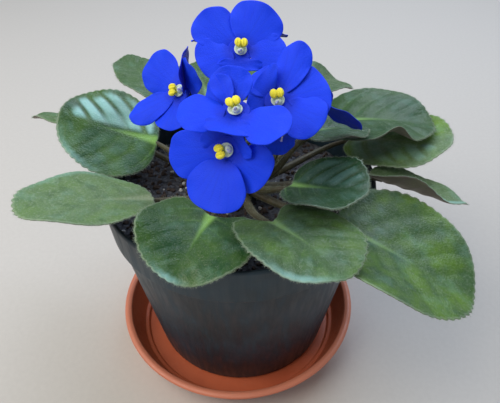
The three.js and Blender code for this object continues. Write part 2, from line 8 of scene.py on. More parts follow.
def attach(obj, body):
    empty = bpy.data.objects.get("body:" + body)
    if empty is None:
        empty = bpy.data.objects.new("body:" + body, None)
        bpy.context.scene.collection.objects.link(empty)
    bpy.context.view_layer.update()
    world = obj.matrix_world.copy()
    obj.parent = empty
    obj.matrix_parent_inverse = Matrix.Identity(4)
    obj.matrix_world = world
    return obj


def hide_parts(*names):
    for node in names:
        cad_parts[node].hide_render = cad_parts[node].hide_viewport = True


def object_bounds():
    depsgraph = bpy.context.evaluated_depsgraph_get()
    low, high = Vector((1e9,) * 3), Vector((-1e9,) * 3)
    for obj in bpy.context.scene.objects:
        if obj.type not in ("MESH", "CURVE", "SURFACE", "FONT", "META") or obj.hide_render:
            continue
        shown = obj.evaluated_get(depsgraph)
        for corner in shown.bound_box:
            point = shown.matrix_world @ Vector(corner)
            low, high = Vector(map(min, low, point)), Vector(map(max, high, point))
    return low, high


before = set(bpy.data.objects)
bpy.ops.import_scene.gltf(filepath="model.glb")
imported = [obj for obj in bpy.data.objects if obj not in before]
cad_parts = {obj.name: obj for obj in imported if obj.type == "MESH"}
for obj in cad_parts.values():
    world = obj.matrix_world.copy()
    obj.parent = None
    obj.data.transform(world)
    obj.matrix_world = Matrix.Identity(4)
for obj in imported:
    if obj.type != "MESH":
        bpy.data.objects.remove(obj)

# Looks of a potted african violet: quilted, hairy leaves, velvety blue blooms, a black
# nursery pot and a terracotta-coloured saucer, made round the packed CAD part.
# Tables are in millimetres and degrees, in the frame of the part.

bl_info = {
    "name": "Potted African Violet",
    "version": (1, 0, 0),
    "blender": (4, 5, 0),
    "location": "3D View > Sidebar > Violet",
    "description": "Makes the leaves, blooms, pot and saucer of a potted african violet",
    "category": "Add Mesh",
}

CAD_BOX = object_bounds()
MM = 0.001
TAU = 2 * math.pi
BODY = "root"

# Sizes shared with the part's source

GAP = 0.3

SAUCER = {
    "height": 19, "rim": 60.3, "rim_inner": 56.7, "rim_depth": 4, "neck": 57.6,
    "shoulder": (52.9, 3.4), "foot": 49.8, "floor": 2.4, "floor_radius": 48.9,
    "ledge": (49.4, 51.4), "ledge_z": 4.4, "wall": 1.9, "edge": 0.8,
}

POT = {
    "x": 1.7, "y": 3.3, "stands_at": 2.7, "base": 44.8, "collar_z": 79.3, "body_top": 56.7,
    "collar": 58.5, "rim": 60, "rim_z": 97.6, "wall": 1.5, "edge": 1,
    "drains": 8, "drain_radius": 3.5, "drain_circle": 33,
}

SOIL_TOP = 84.5
SOIL_MOUND = 1.2
SOIL_RADIUS = 46

CROWN = {"x": 2, "y": 3, "radius": 6.6, "top": 102.5, "bottom": 70.8}

# Each leaf: the blade's base, heading, rise and roll, length, width, bend, cup, egg, lobe,
# curl of the right edge, rise of the edge at one place, where its petiole leaves the
# crown, then the height of its quilting in millimetres, how pale and how yellow it is.

FLAT = (0, 0, 1)
LEAVES = {
    "leaf_front_left": ((-9.9, -31.4, 102.4), (-112, 4, 5), 32.9, 44.4, 21,
                        0.12, 0.14, 0.17, 0, FLAT, (-112, 90.5), 0.4, 0.05, 0.3),
    "leaf_front_right": ((13.2, -40.9, 106.9), (-54, 14, 9), 37.7, 43.3, 19,
                         -0.02, 0.06, 0.27, 0, FLAT, (-78, 90.5), 0.75, 0.4, 0.5),
    "leaf_right_low": ((38, -34.2, 99.1), (-34, -4, 3), 57.3, 55.3, 18,
                       0.16, 0.14, 0.1, 0, FLAT, (-44, 90.5), 0.7, 0.35, 0.75),
    "leaf_right_young": ((22, -20.8, 108), (-29, 13, -1), 30.7, 34.6, 0,
                         0.15, -0.08, 0.1, 0, FLAT, (-60, 96), 0.85, 0.1, 0),
    "leaf_left_long": ((-33, -17, 100.2), (204, 19, -5), 53, 38, 6,
                       0, 0, -0.03, 0, FLAT, (-148, 90.5), 0.6, 1, 0.3),
    "leaf_left_round": ((-34.3, 15.5, 106.8), (183, 20, 26), 42.9, 45.1, 0,
                        -0.04, 0.09, 0.03, 0, (3, -90, 35), (-176, 95.5), 0.7, 0.1, 0.35),
    "leaf_back_right": ((45.7, 21.3, 111.4), (-17, 14, -2), 44, 44.1, 21,
                        0.06, 0.16, 0.17, 0, (7, 75, 14), (24, 96), 0.6, 0.08, 0.15),
    # leaf_back_right_low is drawn palest and yellowest as painted light: it lightens a blade that
    # lies in the shade of the leaf above it.
    "leaf_back_right_low": ((56.7, 24.3, 100.3), (-36, 15, -10), 45.1, 40.8, 0,
                            -0.06, 0.02, 0.08, 0, FLAT, (20, 90.5), 0.8, 1, 1),
    "leaf_right_inner": ((28, -2.1, 120.2), (12, 2, 7), 28, 28.6, 12,
                         0.08, 0.11, 0.1, 0, FLAT, (-20, 96), 0.6, 0.1, 0),
    "leaf_right_edge": ((56.9, -7.2, 102), (-22, -7, 14), 41, 21.5, 0,
                        0.12, 0.34, 0.04, 3.5, (2, 110, 30), (-12, 90.5), 0.5, 0.9, 0.1),
    "leaf_far_left": ((-59.2, 32.6, 102), (155, 3, -21), 43.8, 24.5, 9,
                      0.03, 0.07, 0.08, 0, FLAT, (158, 90.5), 0.5, 0.5, 0.3),
    "leaf_back_left": ((-33.6, 43.4, 114.5), (128, 13, 1), 38.5, 24.5, 8,
                       0, 0.11, 0.1, 0, FLAT, (124, 90.5), 0.5, 0.4, 0.1),
    "leaf_back_right_high": ((29.1, 53.6, 109.9), (36, 7, -8), 42.8, 32.7, 40,
                             0.12, 0.06, 0.08, 0, FLAT, (54, 90.5), 0.5, 0.4, 0.1),
    "leaf_back": ((-3, 48, 107), (97, 8, 3), 42, 40, 18,
                  0.1, 0.1, 0.12, 0, FLAT, (90, 90.5), 0.7, 0.4, 0.3),
    "leaf_back_inner": ((-10, 30, 116), (108, 22, 0), 30, 28, 12,
                        0.15, 0.1, 0.12, 0, FLAT, (108, 96), 0.7, 0.3, 0.1),
}

# What leaves have in common, and what some have unlike the rest. fold: how the halves lean
# on the rib. wave, waves and phase: how far and how often the edge rises and falls. tooth:
# how deep its scallops are. calm: the share of quilting on the left half. sink: how deep
# the rib lies, less where the blade is on the rim of the pot. Then the share of painted
# reflection on the right and the left half, a pale mint sheen of the pile painted into its
# colour, and a painted highlight along a stretch of the edge, as its turn from the tip,
# spread and share.

COMMON_LEAF = {
    "fold": 0.12, "wave": 0.8, "waves": 5, "phase": 0, "tooth": 0.03,
    "calm": 1, "sink": 0.45, "silver": (0, 0), "painted_glint": (0, 1, 0),
}
LEAF_TRAITS = {
    "leaf_front_left": {"painted_glint": (8, 14, 0.75)},
    "leaf_front_right": {"painted_glint": (48, 30, 0.55)},
    "leaf_right_low": {"sink": 0.1},
    "leaf_right_young": {"silver": (0, 0.25)},
    "leaf_left_long": {"painted_glint": (75, 45, 0.25)},
    "leaf_left_round": {
        "fold": -0.08, "calm": 0.35, "silver": (1, 0.08), "painted_glint": (-50, 28, 0.4)},
    "leaf_back_right_low": {"silver": (0.3, 0.1)},
    "leaf_right_edge": {"painted_glint": (60, 60, 0.7)},
}
LEAF_FIELDS = ("at", "turns", "length", "width", "bend", "cup", "egg", "lobe", "curl_right",
               "lift", "start", "quilt", "pale", "warm")

# What petals and sepals have in common: none of a leaf's folds, lobes and curls.

PLAIN_BLADE = {"fold": 0, "lobe": 0, "curl_right": 0, "lift": FLAT}

# Each bloom: the middle of its throat, the azimuth and elevation it faces, the spin of its
# anthers, and five petals as (turn, length, width, lift, curl, twist).

BLOOMS = {
    "front": ((-2, -43.6, 141.3), (-121, 25), 60,
              ((55, 10, 12, 28, 5, 0), (-52, 10, 11, 32, 0, 0), (112, 23, 16, 5, 10, 0),
               (-110, 16.3, 16.3, 4, 9, 0), (180, 20.5, 21, 24, 8, 0))),
    "middle": ((0.6, -40.6, 153.2), (-101, 73), 150,
               ((44, 14.6, 11.5, 12, 3, -48), (16, 15.8, 13.6, 24.5, 0, 0), (100, 18, 15, 2, 0, 0),
                (-114, 18.5, 16, 5, 0, 0), (172, 9.8, 17, 4, 8, 0))),
    "right": ((15.1, -24.5, 147.4), (-101, 54), 165,
              ((35, 14, 13, 0, 0, 0), (59, 10.5, 20, 2, 5, -36), (-119, 17.8, 16.5, 7, 0, 0),
               (-66, 18, 20, -2, 0, 0), (-16, 22.8, 11.5, 3, 0, 0))),
    "top": ((3.1, -1.8, 155.6), (-79, 54), 190,
            ((36, 20.3, 18, 4, 0, 0), (-38, 20.5, 20, 10, 0, 0), (102, 16.5, 17, 0, 0, 0),
             (-101, 17, 15, 6, 0, 0), (172, 8.5, 18, 8, 20, 0))),
    "left": ((-19.7, -2.7, 140.5), (-137, 36), 60,
             ((-27, 18.8, 17.8, 49.7, 0, -32), (-55, 22.5, 12, 45, 7, 30), (78, 22, 17.2, 6, 0, 0),
              (-168, 16, 16, 15, 0, 0), (145, 23, 11, 18, 0, 0))),
    "low": ((16.4, -23.2, 136), (-75, 0), 180,
            ((50, 8, 9, 60, 0, 0), (-50, 8, 9, 60, 0, 0), (110, 12, 11, 10, 0, 0),
             (-130, 8, 9, 10, 0, 0), (180, 11, 12, 5, 10, 0))),
    "far_right": ((30, -8, 139), (70, 5), 0,
                  ((60, 8, 9, 50, 0, 0), (-10, 9, 9, 50, 0, 0), (118, 22, 10, 0, 0, 30),
                   (-120, 13, 12, 0, 0, 0), (-60, 13, 12, 10, 0, 0))),
    "back": ((3.5, 24, 150), (95, 60), 0,
             ((35, 14, 13, 5, 0, 0), (-35, 14, 13, 5, 0, 0), (95, 20, 15, 0, 0, 0),
              (-95, 20, 15, 0, 0, 0), (180, 12, 15, 10, 0, 0))),
}

# Bloom stalks: azimuth and height at the crown, the fork, and the blooms they bear.

STALKS = {
    "stalk_front": ((-96, 99), (3.7, -15.6, 121.6), ("front", "middle", "low")),
    "stalk_top": ((36, 99.5), (7, 0, 130), ("top", "right", "back")),
    "stalk_left": ((150, 99), (-11, 3, 122), ("left",)),
    "stalk_right": ((-30, 100.5), (20, -5, 121), ("far_right",)),
}

LEAF_THICKNESS = 1.2
PETAL_START = 2.9
PETAL_LAYERS = (-0.7, -0.35, 0, 0, 0.35)
TUBE_DEPTH = 3.6
HUB_RADIUS = 4.3
HUB_TOP = 0.3
THROAT_TOP = HUB_TOP + GAP + 0.6
ANTHER_HALF = (1.7, 1.3, 1.1)
OVARY_HALF = (1.1, 1.3, 1.1)
CALYX_SEAT = -TUBE_DEPTH - GAP
CALYX_DEPTH = 1.3
SEPALS = 5


# Directions and curves

def unit(v):
    return v / np.linalg.norm(v, axis=-1, keepdims=True)


def axes_of(heading, rise, roll):
    """Across, along and up of something that points along a heading and rise."""
    a, e, r = np.radians((heading, rise, roll))
    along = np.array((math.cos(e) * math.cos(a), math.cos(e) * math.sin(a), math.sin(e)))
    level = np.array((-math.sin(e) * math.cos(a), -math.sin(e) * math.sin(a), math.cos(e)))
    side = np.cross(along, level)
    across = side * math.cos(r) + level * math.sin(r)
    up = level * math.cos(r) - side * math.sin(r)
    return across, along, up


def bend_between(start, leaving, end, arriving, steps, pull_out, pull_in):
    """Points of a smooth curve that leaves and arrives along given directions."""
    span = np.linalg.norm(end - start)
    a = start + leaving * span * pull_out
    b = end - arriving * span * pull_in
    t = np.linspace(0, 1, steps + 1)[:, None]
    return (1 - t) ** 3 * start + 3 * (1 - t) ** 2 * t * a + 3 * (1 - t) * t * t * b + t ** 3 * end


def leaning(axes, turn, lift, twist=0.0):
    """The way from a bloom's middle at a turn, and across, along and up of a blade there
    that lifts and twists."""
    _, side, up, out = axes
    away = up * math.cos(turn) + side * math.sin(turn)
    along = away * math.cos(lift) + out * math.sin(lift)
    level = out * math.cos(lift) - away * math.sin(lift)
    level = level * math.cos(twist) + np.cross(along, level) * math.sin(twist)
    return away, (np.cross(along, level), along, level)


def crown_start(azimuth, z):
    """Where a petiole or stalk meets the crown, and the way it leaves."""
    a = math.radians(azimuth)
    out = np.array((math.cos(a), math.sin(a), 0.0))
    middle = np.array((CROWN["x"], CROWN["y"], z))
    return middle + out * (CROWN["radius"] + 0.2), out


def from_tip(angle):
    """Angles of 0 to a full turn as turns to the right and left of the tip."""
    return np.where(angle > math.pi, angle - TAU, angle)


def smooth(value, low, high):
    """A smooth step from 0 at one limit to 1 at the other."""
    t = np.clip((value - low) / (high - low), 0, 1)
    return t * t * (3 - 2 * t)


# Mesh parts: points in millimetres with faces, gathered into one piece

SHARP_EDGE = 40
NO_EDGE = 180
END_ROUNDING = 0.3
HAIR_ROOT = 0.1


class Parts:
    """Gathers parts of one piece, with a finish for each face and marks for each point."""

    def __init__(self, *marks):
        self.points = []
        self.faces = []
        self.finishes = []
        self.marks = {mark: [] for mark in marks}
        self.count = 0

    def add(self, points, face_groups, finish=0, **marks):
        """Adds points and groups of their faces in one finish; a mark not given is 0."""
        points = np.asarray(points, float)
        for faces in face_groups:
            faces = np.asarray(faces, int)
            self.faces.append(faces + self.count)
            self.finishes.append(np.full(len(faces), finish))
        for mark, values in self.marks.items():
            values.append(np.broadcast_to(marks.get(mark, 0.0), len(points)))
        self.points.append(points)
        self.count += len(points)

    def add_blade(self, blade, under, **marks):
        """A blade from plate, its underside in that finish and marked like the face above."""
        start = self.count
        inner = blade["inner"]
        self.add(blade["points"], (), **{
            mark: np.concatenate((value, value[:inner])) if np.ndim(value) else value
            for mark, value in marks.items()
        })
        for finish_index, group in ((0, blade["over"]), (under, blade["under"])):
            for faces in group:
                self.faces.append(faces + start)
                self.finishes.append(np.full(len(faces), finish_index))

    def piece(self, name, finishes, slot, *nodes, sharp=SHARP_EDGE):
        """The finished piece, riding on the part's body in place of its CAD nodes."""
        mesh = bpy.data.meshes.new(name)
        points = np.concatenate(self.points) * MM
        mesh.vertices.add(len(points))
        mesh.vertices.foreach_set("co", points.ravel())
        sizes = np.concatenate([np.full(len(f), f.shape[1]) for f in self.faces])
        corners = np.concatenate([f.ravel() for f in self.faces])
        mesh.loops.add(len(corners))
        mesh.loops.foreach_set("vertex_index", corners)
        mesh.polygons.add(len(sizes))
        mesh.polygons.foreach_set("loop_start", np.cumsum(sizes) - sizes)
        mesh.polygons.foreach_set("material_index", np.concatenate(self.finishes))
        mesh.update(calc_edges=True)
        mesh.shade_smooth()
        mesh.set_sharp_from_angle(angle=math.radians(sharp))
        for mark, values in self.marks.items():
            layer = mesh.attributes.new(mark, "FLOAT", "POINT")
            layer.data.foreach_set("value", np.concatenate(values).astype(np.float32))
        for material in finishes:
            mesh.materials.append(material)
        piece = bpy.data.objects.new(name, mesh)
        bpy.context.scene.collection.objects.link(piece)
        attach(piece, BODY)
        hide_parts(*nodes)
        return piece


def ring_faces(rings, count):
    """Quads between rings of points that follow each other."""
    i, k = np.meshgrid(np.arange(rings - 1), np.arange(count), indexing="ij")
    a = i * count + k
    b = i * count + (k + 1) % count
    return np.stack((a, b, b + count, a + count), -1).reshape(-1, 4)


def end_caps(count, sides):
    """Fans from two end points, kept after all rings, to the first and last ring."""
    k = np.arange(sides)
    after = (k + 1) % sides
    last = count - sides
    return np.concatenate((
        np.stack((np.full(sides, count), after, k), -1),
        np.stack((np.full(sides, count + 1), last + k, last + after), -1),
    ))


def lathe(profile, sides):
    """A body turned about Z from [radius, height] pairs that start and end on the axis."""
    rings = np.array(profile[1:-1], float)
    angle = np.arange(sides) * TAU / sides
    wheel = np.stack((np.cos(angle), np.sin(angle)), -1)
    xy = rings[:, None, :1] * wheel[None]
    z = np.broadcast_to(rings[:, None, 1:], xy.shape[:2] + (1,))
    points = np.concatenate((xy, z), -1).reshape(-1, 3)
    ends = [(0, 0, profile[0][1]), (0, 0, profile[-1][1])]
    faces = ring_faces(len(rings), sides), end_caps(len(points), sides)
    return np.concatenate((points, ends)), faces


def rounded(profile, radius, steps=4):
    """The profile with each corner turned over a small arc."""
    points = [np.array(p, float) for p in profile]
    out = [points[0]]
    for before, corner, after in zip(points, points[1:], points[2:]):
        back = before - corner
        ahead = after - corner
        cut = min(radius, 0.45 * np.linalg.norm(back), 0.45 * np.linalg.norm(ahead))
        a = corner + unit(back) * cut
        b = corner + unit(ahead) * cut
        for t in np.linspace(0, 1, steps + 1):
            out.append((1 - t) ** 2 * a + 2 * t * (1 - t) * corner + t * t * b)
    out.append(points[-1])
    return out


def rod(points, radii, sides):
    """A closed round rod through points, with the outward direction of each point."""
    ahead = np.vstack((points[1:], points[-1:]))
    behind = np.vstack((points[:1], points[:-1]))
    along = unit(ahead - behind)
    side = np.array((0.0, 0, 1)) if abs(along[0][2]) < 0.9 else np.array((1.0, 0, 0))
    angle = np.arange(sides) * TAU / sides
    out = []
    for way in along:
        side = unit(side - way * side.dot(way))
        other = np.cross(way, side)
        out.append(np.cos(angle)[:, None] * side + np.sin(angle)[:, None] * other)
    out = np.array(out)
    rings = points[:, None] + out * np.asarray(radii, float)[:, None, None]
    ends = (
        points[0] - along[0] * END_ROUNDING * radii[0],
        points[-1] + along[-1] * END_ROUNDING * radii[-1],
    )
    whole = np.concatenate((rings.reshape(-1, 3), ends))
    faces = ring_faces(len(points), sides), end_caps(len(points) * sides, sides)
    return whole, faces, out.reshape(-1, 3)


def egg(centre, axes, radii, rows, sides, groove=0.0):
    """An egg along three axes; groove presses a line into its front, along its first axis."""
    v = np.linspace(0, math.pi, rows + 1)[1:-1]
    u = np.arange(sides) * TAU / sides
    rise = np.cos(v)[:, None] * np.ones(sides)
    side = np.sin(v)[:, None] * np.cos(u)
    front = np.sin(v)[:, None] * np.sin(u)
    dent = 1 - groove * np.exp(-(side / 0.22) ** 2) * smooth(front, 0, 0.6)
    local = np.stack((rise, side, front * dent), -1).reshape(-1, 3)
    local = np.concatenate((local, [(1, 0, 0), (-1, 0, 0)])) * radii
    points = centre + local @ np.array(axes)
    return points, (ring_faces(rows - 1, sides), end_caps((rows - 1) * sides, sides))


def hairs(parts, roots, ways, length, radius, finish, rng, spread):
    """Fine tapering hairs, each a closed three-sided spike."""
    ways = unit(ways + rng.normal(0, spread, ways.shape))
    side = unit(np.cross(ways, rng.normal(0, 1, ways.shape)))
    other = np.cross(ways, side)
    count = len(roots)
    size = length * rng.uniform(0.6, 1.2, (count, 1))
    feet = roots - ways * HAIR_ROOT
    corners = [
        feet + radius * (math.cos(a) * side + math.sin(a) * other)
        for a in (0, TAU / 3, 2 * TAU / 3)
    ]
    points = np.stack((*corners, roots + ways * size), 1).reshape(-1, 3)
    base = 4 * np.arange(count)[:, None]
    faces = np.concatenate([
        base + np.array(f) for f in ((0, 1, 3), (1, 2, 3), (2, 0, 3), (0, 2, 1))
    ])
    parts.add(points, (faces,), finish)


# Blades: leaf, petal and sepal share one outline, as in the part's source

MIDDLE_OF_BLADE = 0.45
LOBE_ANGLE = 2.55
LOBE_SPREAD = 0.38
CURL_START = 0.3


def blade_flat(form, angle, reach):
    """Flat place of points at an angle from the tip and a share of the way to the edge."""
    turn = from_tip(angle)
    jitter = 0.5 * np.sin(3 * turn + form["seed"])
    uneven = 0.65 + 0.35 * np.sin(2.3 * turn + 2 * form["seed"])
    scallop = 1 - np.abs(np.sin(form["teeth"] / 2 * turn + jitter)) ** 0.8
    shrink = 1 - form["tooth"] * uneven * scallop
    back = np.exp(-(((np.abs(turn) - LOBE_ANGLE) / LOBE_SPREAD) ** 2))
    x = form["width"] / 2 * np.sin(turn) * (1 - form["egg"] * np.cos(turn)) * shrink
    y = form["length"] / 2 * (1 + np.cos(turn)) - form["lobe"] * form["length"] * back
    middle = MIDDLE_OF_BLADE * form["length"]
    y = middle + (y - middle) * shrink
    return x * reach, middle + (y - middle) * reach


def blade_surface(form, axes, base, angle, reach, relief):
    """Places of the blade's middle face; relief is added to its height."""
    x, y = blade_flat(form, angle, reach)
    half = form["width"] / 2
    edge = x / half
    right = np.maximum(0, edge - CURL_START)
    lift, lift_turn, lift_spread = form["lift"]
    turn = np.degrees(from_tip(angle))
    height = (
        form["cup"] * half * edge ** 2
        + form["fold"] * (np.hypot(x, 1) - 1)
        + 2 * form["curl_right"] * right ** 2
        + lift * reach ** 3 * np.exp(-(((turn - lift_turn) / lift_spread) ** 2))
        + form["wave"] * reach ** 3 * np.sin(form["waves"] * angle + form["phase"])
        + relief(x, y, angle, reach)
    )
    radius = form["length"] / math.radians(max(form["bend"], 0.01))
    bow = np.maximum(y, 0) / radius
    forward = np.where(y > 0, radius * np.sin(bow), y)
    sunk = radius * (1 - np.cos(bow))
    across, along, up = axes
    return (
        base
        + across * x[:, None]
        + along * (forward + height * np.sin(bow))[:, None]
        + up * (height * np.cos(bow) - sunk)[:, None]
    )


def plate(form, axes, base, relief, reaches, count, over, under):
    """A closed blade in rings round a middle point, as thick above and below its middle face
    as over and under say. Both faces share the outermost ring, after the inner points."""
    angle = np.concatenate(([0], np.tile(np.arange(count) * TAU / count, len(reaches))))
    reach = np.concatenate(([0], np.repeat(reaches, count)))
    middle = blade_surface(form, axes, base, angle, reach, relief)
    k = np.arange(count)
    fan = np.stack((np.zeros(count, int), 1 + (k + 1) % count, 1 + k), -1)
    quads = ring_faces(len(reaches), count) + 1
    normal = np.zeros_like(middle)
    for a, b, c in (fan.T, quads[:, :3].T, quads[:, (0, 2, 3)].T):
        n = np.cross(middle[b] - middle[a], middle[c] - middle[a])
        for corner in (a, b, c):
            np.add.at(normal, corner, n)
    normal = unit(normal)
    total = len(middle)
    inner = total - count
    top = middle + normal * over(angle, reach)[:, None]
    bottom = (middle - normal * under(angle, reach)[:, None])[:inner]
    lower = np.arange(total)
    lower[:inner] += total
    return {
        "points": np.concatenate((top, bottom)), "normal": normal, "angle": angle,
        "reach": reach, "inner": inner, "over": (quads, fan),
        "under": (lower[quads[:, ::-1]], lower[fan[:, ::-1]]),
    }


def edge_rounding(reach, start=0.95):
    """Thins a blade to nothing over a round edge."""
    return np.sqrt(np.maximum(0, 1 - np.maximum(0, (reach - start) / (1 - start)) ** 2))


# Materials

def linear(hex_colour):
    """A hex sRGB colour as linear red, green and blue."""
    shares = [int(hex_colour[i:i + 2], 16) / 255 for i in (1, 3, 5)]
    return [c / 12.92 if c <= 0.04045 else ((c + 0.055) / 1.055) ** 2.4 for c in shares]


def rgba(colour):
    """A colour as hex or as linear shares, with full alpha."""
    rgb = linear(colour) if isinstance(colour, str) else list(colour)
    return (*rgb, 1.0)


# For each kind of node: the output that is taken, its sockets in the order in which they are
# given, with a value for those that can be left out, and its settings.

NODES = {
    "Attribute": ("Fac", {}, {}),
    "TexCoord": ("Object", {}, {}),
    "Mapping": ("Vector", {"Vector": None, "Scale": None}, {}),
    "SeparateXYZ": ("Z", {"Vector": None}, {}),
    "TexNoise": ("Fac", {"Vector": None, "Scale": None, "Detail": 3, "Roughness": 0.55}, {}),
    "TexVoronoi": ("Distance", {"Vector": None, "Scale": None}, {}),
    "MapRange": (
        "Result", {"Value": None, "From Min": None, "From Max": None, "To Min": 0, "To Max": 1},
        {"interpolation_type": "SMOOTHSTEP"}),
    "Mix": (2, {"Factor": None, 6: None, 7: None}, {"data_type": "RGBA"}),
    "Math": (0, {0: None, 1: None}, {}),
    "Bump": ("Normal", {"Height": None, "Distance": None, "Strength": 1}, {}),
}


def add(tree, kind, *given, **settings):
    """Adds a node with its settings and gives its output. A socket is linked from another
    node's output or set to a value; a colour is hex or linear shares."""
    output, sockets, usual = NODES[kind]
    node = tree.nodes.new("ShaderNode" + kind)
    for key, value in {**usual, **settings}.items():
        setattr(node, key, value)
    for key, value in {**sockets, **dict(zip(sockets, given))}.items():
        socket = node.inputs[key]
        if isinstance(value, bpy.types.NodeSocket):
            tree.links.new(value, socket)
        else:
            socket.default_value = rgba(value) if socket.type == "RGBA" else value
    return node.outputs[output]


def pattern(tree, kind, mm, *details, stretch=None):
    """A pattern whose features have that real size; stretch squeezes it along an axis."""
    place = add(tree, "TexCoord")
    if stretch:
        place = add(tree, "Mapping", place, stretch)
    return add(tree, kind, place, 1 / (mm * MM), *details)


def tinge(tree, colour, other, value, low, high, share):
    """The colour with up to that share of another, where a value passes its limits."""
    return add(tree, "Mix", add(tree, "MapRange", value, low, high, 0, share), colour, other)


def finish(name, **sockets):
    """Turns a function that draws a shader's linked sockets into one that makes the whole
    material, with these values on its other sockets."""
    def material_of(draw):
        def make(*look):
            material = bpy.data.materials.new(name)
            material.use_nodes = True
            tree = material.node_tree
            shader = tree.nodes["Principled BSDF"]
            for key, value in sockets.items():
                shader.inputs[key.replace("_", " ")].default_value = value
            for key, socket in draw(tree, *look).items():
                tree.links.new(socket, shader.inputs[key])
            return material
        return make
    return material_of


@finish("leaf_blade_velvety_tissue", Sheen_Weight=0.14, Sheen_Roughness=0.4,
        Sheen_Tint=rgba("#c4ddcf"), Specular_IOR_Level=0.32)
def leaf_top(tree, look):
    """African violet leaf, living tissue under a dense pile of short hairs: a soft pale
    bloom at grazing angles over deep green, lime green along the ribs. Its pebbles are
    drawn coarser than real, as they wouldn't show otherwise."""
    pale = add(tree, "Attribute", attribute_name="pale")
    vein = add(tree, "Attribute", attribute_name="vein")
    rim = add(tree, "Attribute", attribute_name="rim")
    patches = add(tree, "MapRange", pattern(tree, "TexNoise", 15), 0.35, 0.68)
    warm = add(tree, "Attribute", attribute_name="warm")
    warm = add(tree, "Math", patches, warm, operation="MULTIPLY")
    green = add(tree, "Mix", pale, look.deep_green, look.pale_green)
    green = add(tree, "Mix", warm, green, look.warm_green)
    green = tinge(tree, green, look.deep_green, pattern(tree, "TexNoise", 5), 0.5, 0.75, 0.4)
    rib = add(tree, "Mix", pale, look.rib_green, look.rib_pale)
    green = tinge(tree, green, rib, vein, 0.05, 0.9, 0.9)
    # Painted reflection: a faint mottle of the pale mint colour all over, then the marked panels
    # and edge glints, stand in for a soft light's sheen on the pile.
    green = tinge(tree, green, look.silver, pattern(tree, "TexNoise", 7, 5), 0.48, 0.7, 0.1)
    silver = add(tree, "Attribute", attribute_name="silver")
    green = add(tree, "Mix", silver, green, look.silver)
    tufts = add(tree, "MapRange", pattern(tree, "TexNoise", 0.9), 0.45, 0.7, 0, 0.16)
    thick = add(tree, "MapRange", pale, 0, 1, 0.35, 1)
    pile = add(tree, "Math", tufts, thick, operation="MULTIPLY")
    green = add(tree, "Mix", pile, green, look.hair)
    green = tinge(tree, green, look.hair, rim, 0.4, 1, 0.24)
    pebbles = pattern(tree, "TexVoronoi", 0.7)
    dull = add(tree, "MapRange", pale, 0, 0.8, 0.27, 0.5)
    uneven = add(tree, "MapRange", pattern(tree, "TexNoise", 3), 0.3, 0.75, 0, 0.12)
    gloss = add(tree, "Math", dull, uneven, operation="ADD")
    skin = add(tree, "Bump", pebbles, 0.12 * MM)
    return {"Base Color": green, "Roughness": gloss, "Normal": skin}


@finish("leaf_underside_haired_tissue", Roughness=0.65, Sheen_Weight=0.4,
        Sheen_Roughness=0.5, Sheen_Tint=rgba("#cdbfb4"))
def leaf_underside(tree, look):
    """The leaf's underside: thinner pigment and raised ribs, a dull mauve brown. Its
    pebbles are drawn coarser than real, too."""
    vein = add(tree, "Attribute", attribute_name="vein")
    colour = add(tree, "Mix", pattern(tree, "TexNoise", 6), look.under_brown, look.under_green)
    colour = tinge(tree, colour, "#9a8f78", vein, 0.1, 0.9, 0.6)
    skin = add(tree, "Bump", pattern(tree, "TexVoronoi", 0.7), 0.1 * MM)
    return {"Base Color": colour, "Normal": skin}


@finish("plant_hair_clear_cells", Roughness=0.45)
def plant_hair(tree, look):
    """Leaf hair: clear single cells that scatter light, so they look white."""
    return {"Base Color": add(tree, "Mix", pattern(tree, "TexNoise", 5), look.hair, "#a9bfa5")}


@finish("stem_juicy_haired_tissue", Roughness=0.5, Sheen_Weight=0.3, Sheen_Roughness=0.4,
        Sheen_Tint=rgba("#d9dccb"))
def stem_tissue(tree, look):
    """Petioles and bloom stalks: juicy stems, green with brown tinges."""
    grain = pattern(tree, "TexNoise", 2.2, stretch=(1, 1, 0.35))
    colour = add(tree, "Mix", pattern(tree, "TexNoise", 8), look.stem_green, look.stem_brown)
    colour = tinge(tree, colour, "#6b6446", grain, 0.4, 0.7, 0.4)
    return {"Base Color": colour, "Normal": add(tree, "Bump", grain, 0.15 * MM)}


@finish("petal_velvet_tissue", Roughness=0.62, Sheen_Weight=0.14, Sheen_Roughness=0.35,
        Sheen_Tint=rgba("#5f7dff"), Specular_IOR_Level=0.25)
def petal_tissue(tree, look):
    """Petal: a pile of tiny cone cells that drinks in light face on, so the blue is deep and
    even, with a fine sparkle where it turns away. Real cone cells are too fine to show, so
    they are drawn coarser."""
    throat_painted_shade = add(tree, "Attribute", attribute_name="throat")
    streak = add(tree, "Attribute", attribute_name="streak")
    blue = add(tree, "Mix", pattern(tree, "TexNoise", 5), look.petal_blue, look.petal_light)
    # Painted shade: the blue darkens towards the throat, where the petals lie in shade.
    blue = tinge(tree, blue, look.petal_deep, throat_painted_shade, 0.1, 1, 0.6)
    blue = tinge(tree, blue, look.petal_deep, streak, 0.2, 1, 0.12)
    skin = add(tree, "Bump", pattern(tree, "TexVoronoi", 0.45), 0.08 * MM)
    return {"Base Color": blue, "Normal": skin}


@finish("petal_back_tissue", Roughness=0.55, Sheen_Weight=0.2, Sheen_Tint=rgba("#8f86e0"),
        Specular_IOR_Level=0.3)
def petal_underside(tree, look):
    """The petal's back: the same tissue without its cone cells, duller and a touch mauve."""
    blue = add(tree, "Mix", pattern(tree, "TexNoise", 5), look.petal_deep, look.petal_back)
    skin = add(tree, "Bump", pattern(tree, "TexNoise", 1.2), 0.08 * MM)
    return {"Base Color": blue, "Normal": skin}


@finish("anther_pollen_dusted", Roughness=0.7, Specular_IOR_Level=0.3)
def pollen_yellow(tree, look):
    """Anther walls dusted with pollen: bright yellow, dry and powdery. The grains are drawn
    coarser than real, to show at all."""
    colour = add(tree, "Mix", pattern(tree, "TexNoise", 0.9), look.anther, "#f6ec55")
    skin = add(tree, "Bump", pattern(tree, "TexVoronoi", 0.35), 0.06 * MM)
    return {"Base Color": colour, "Normal": skin}


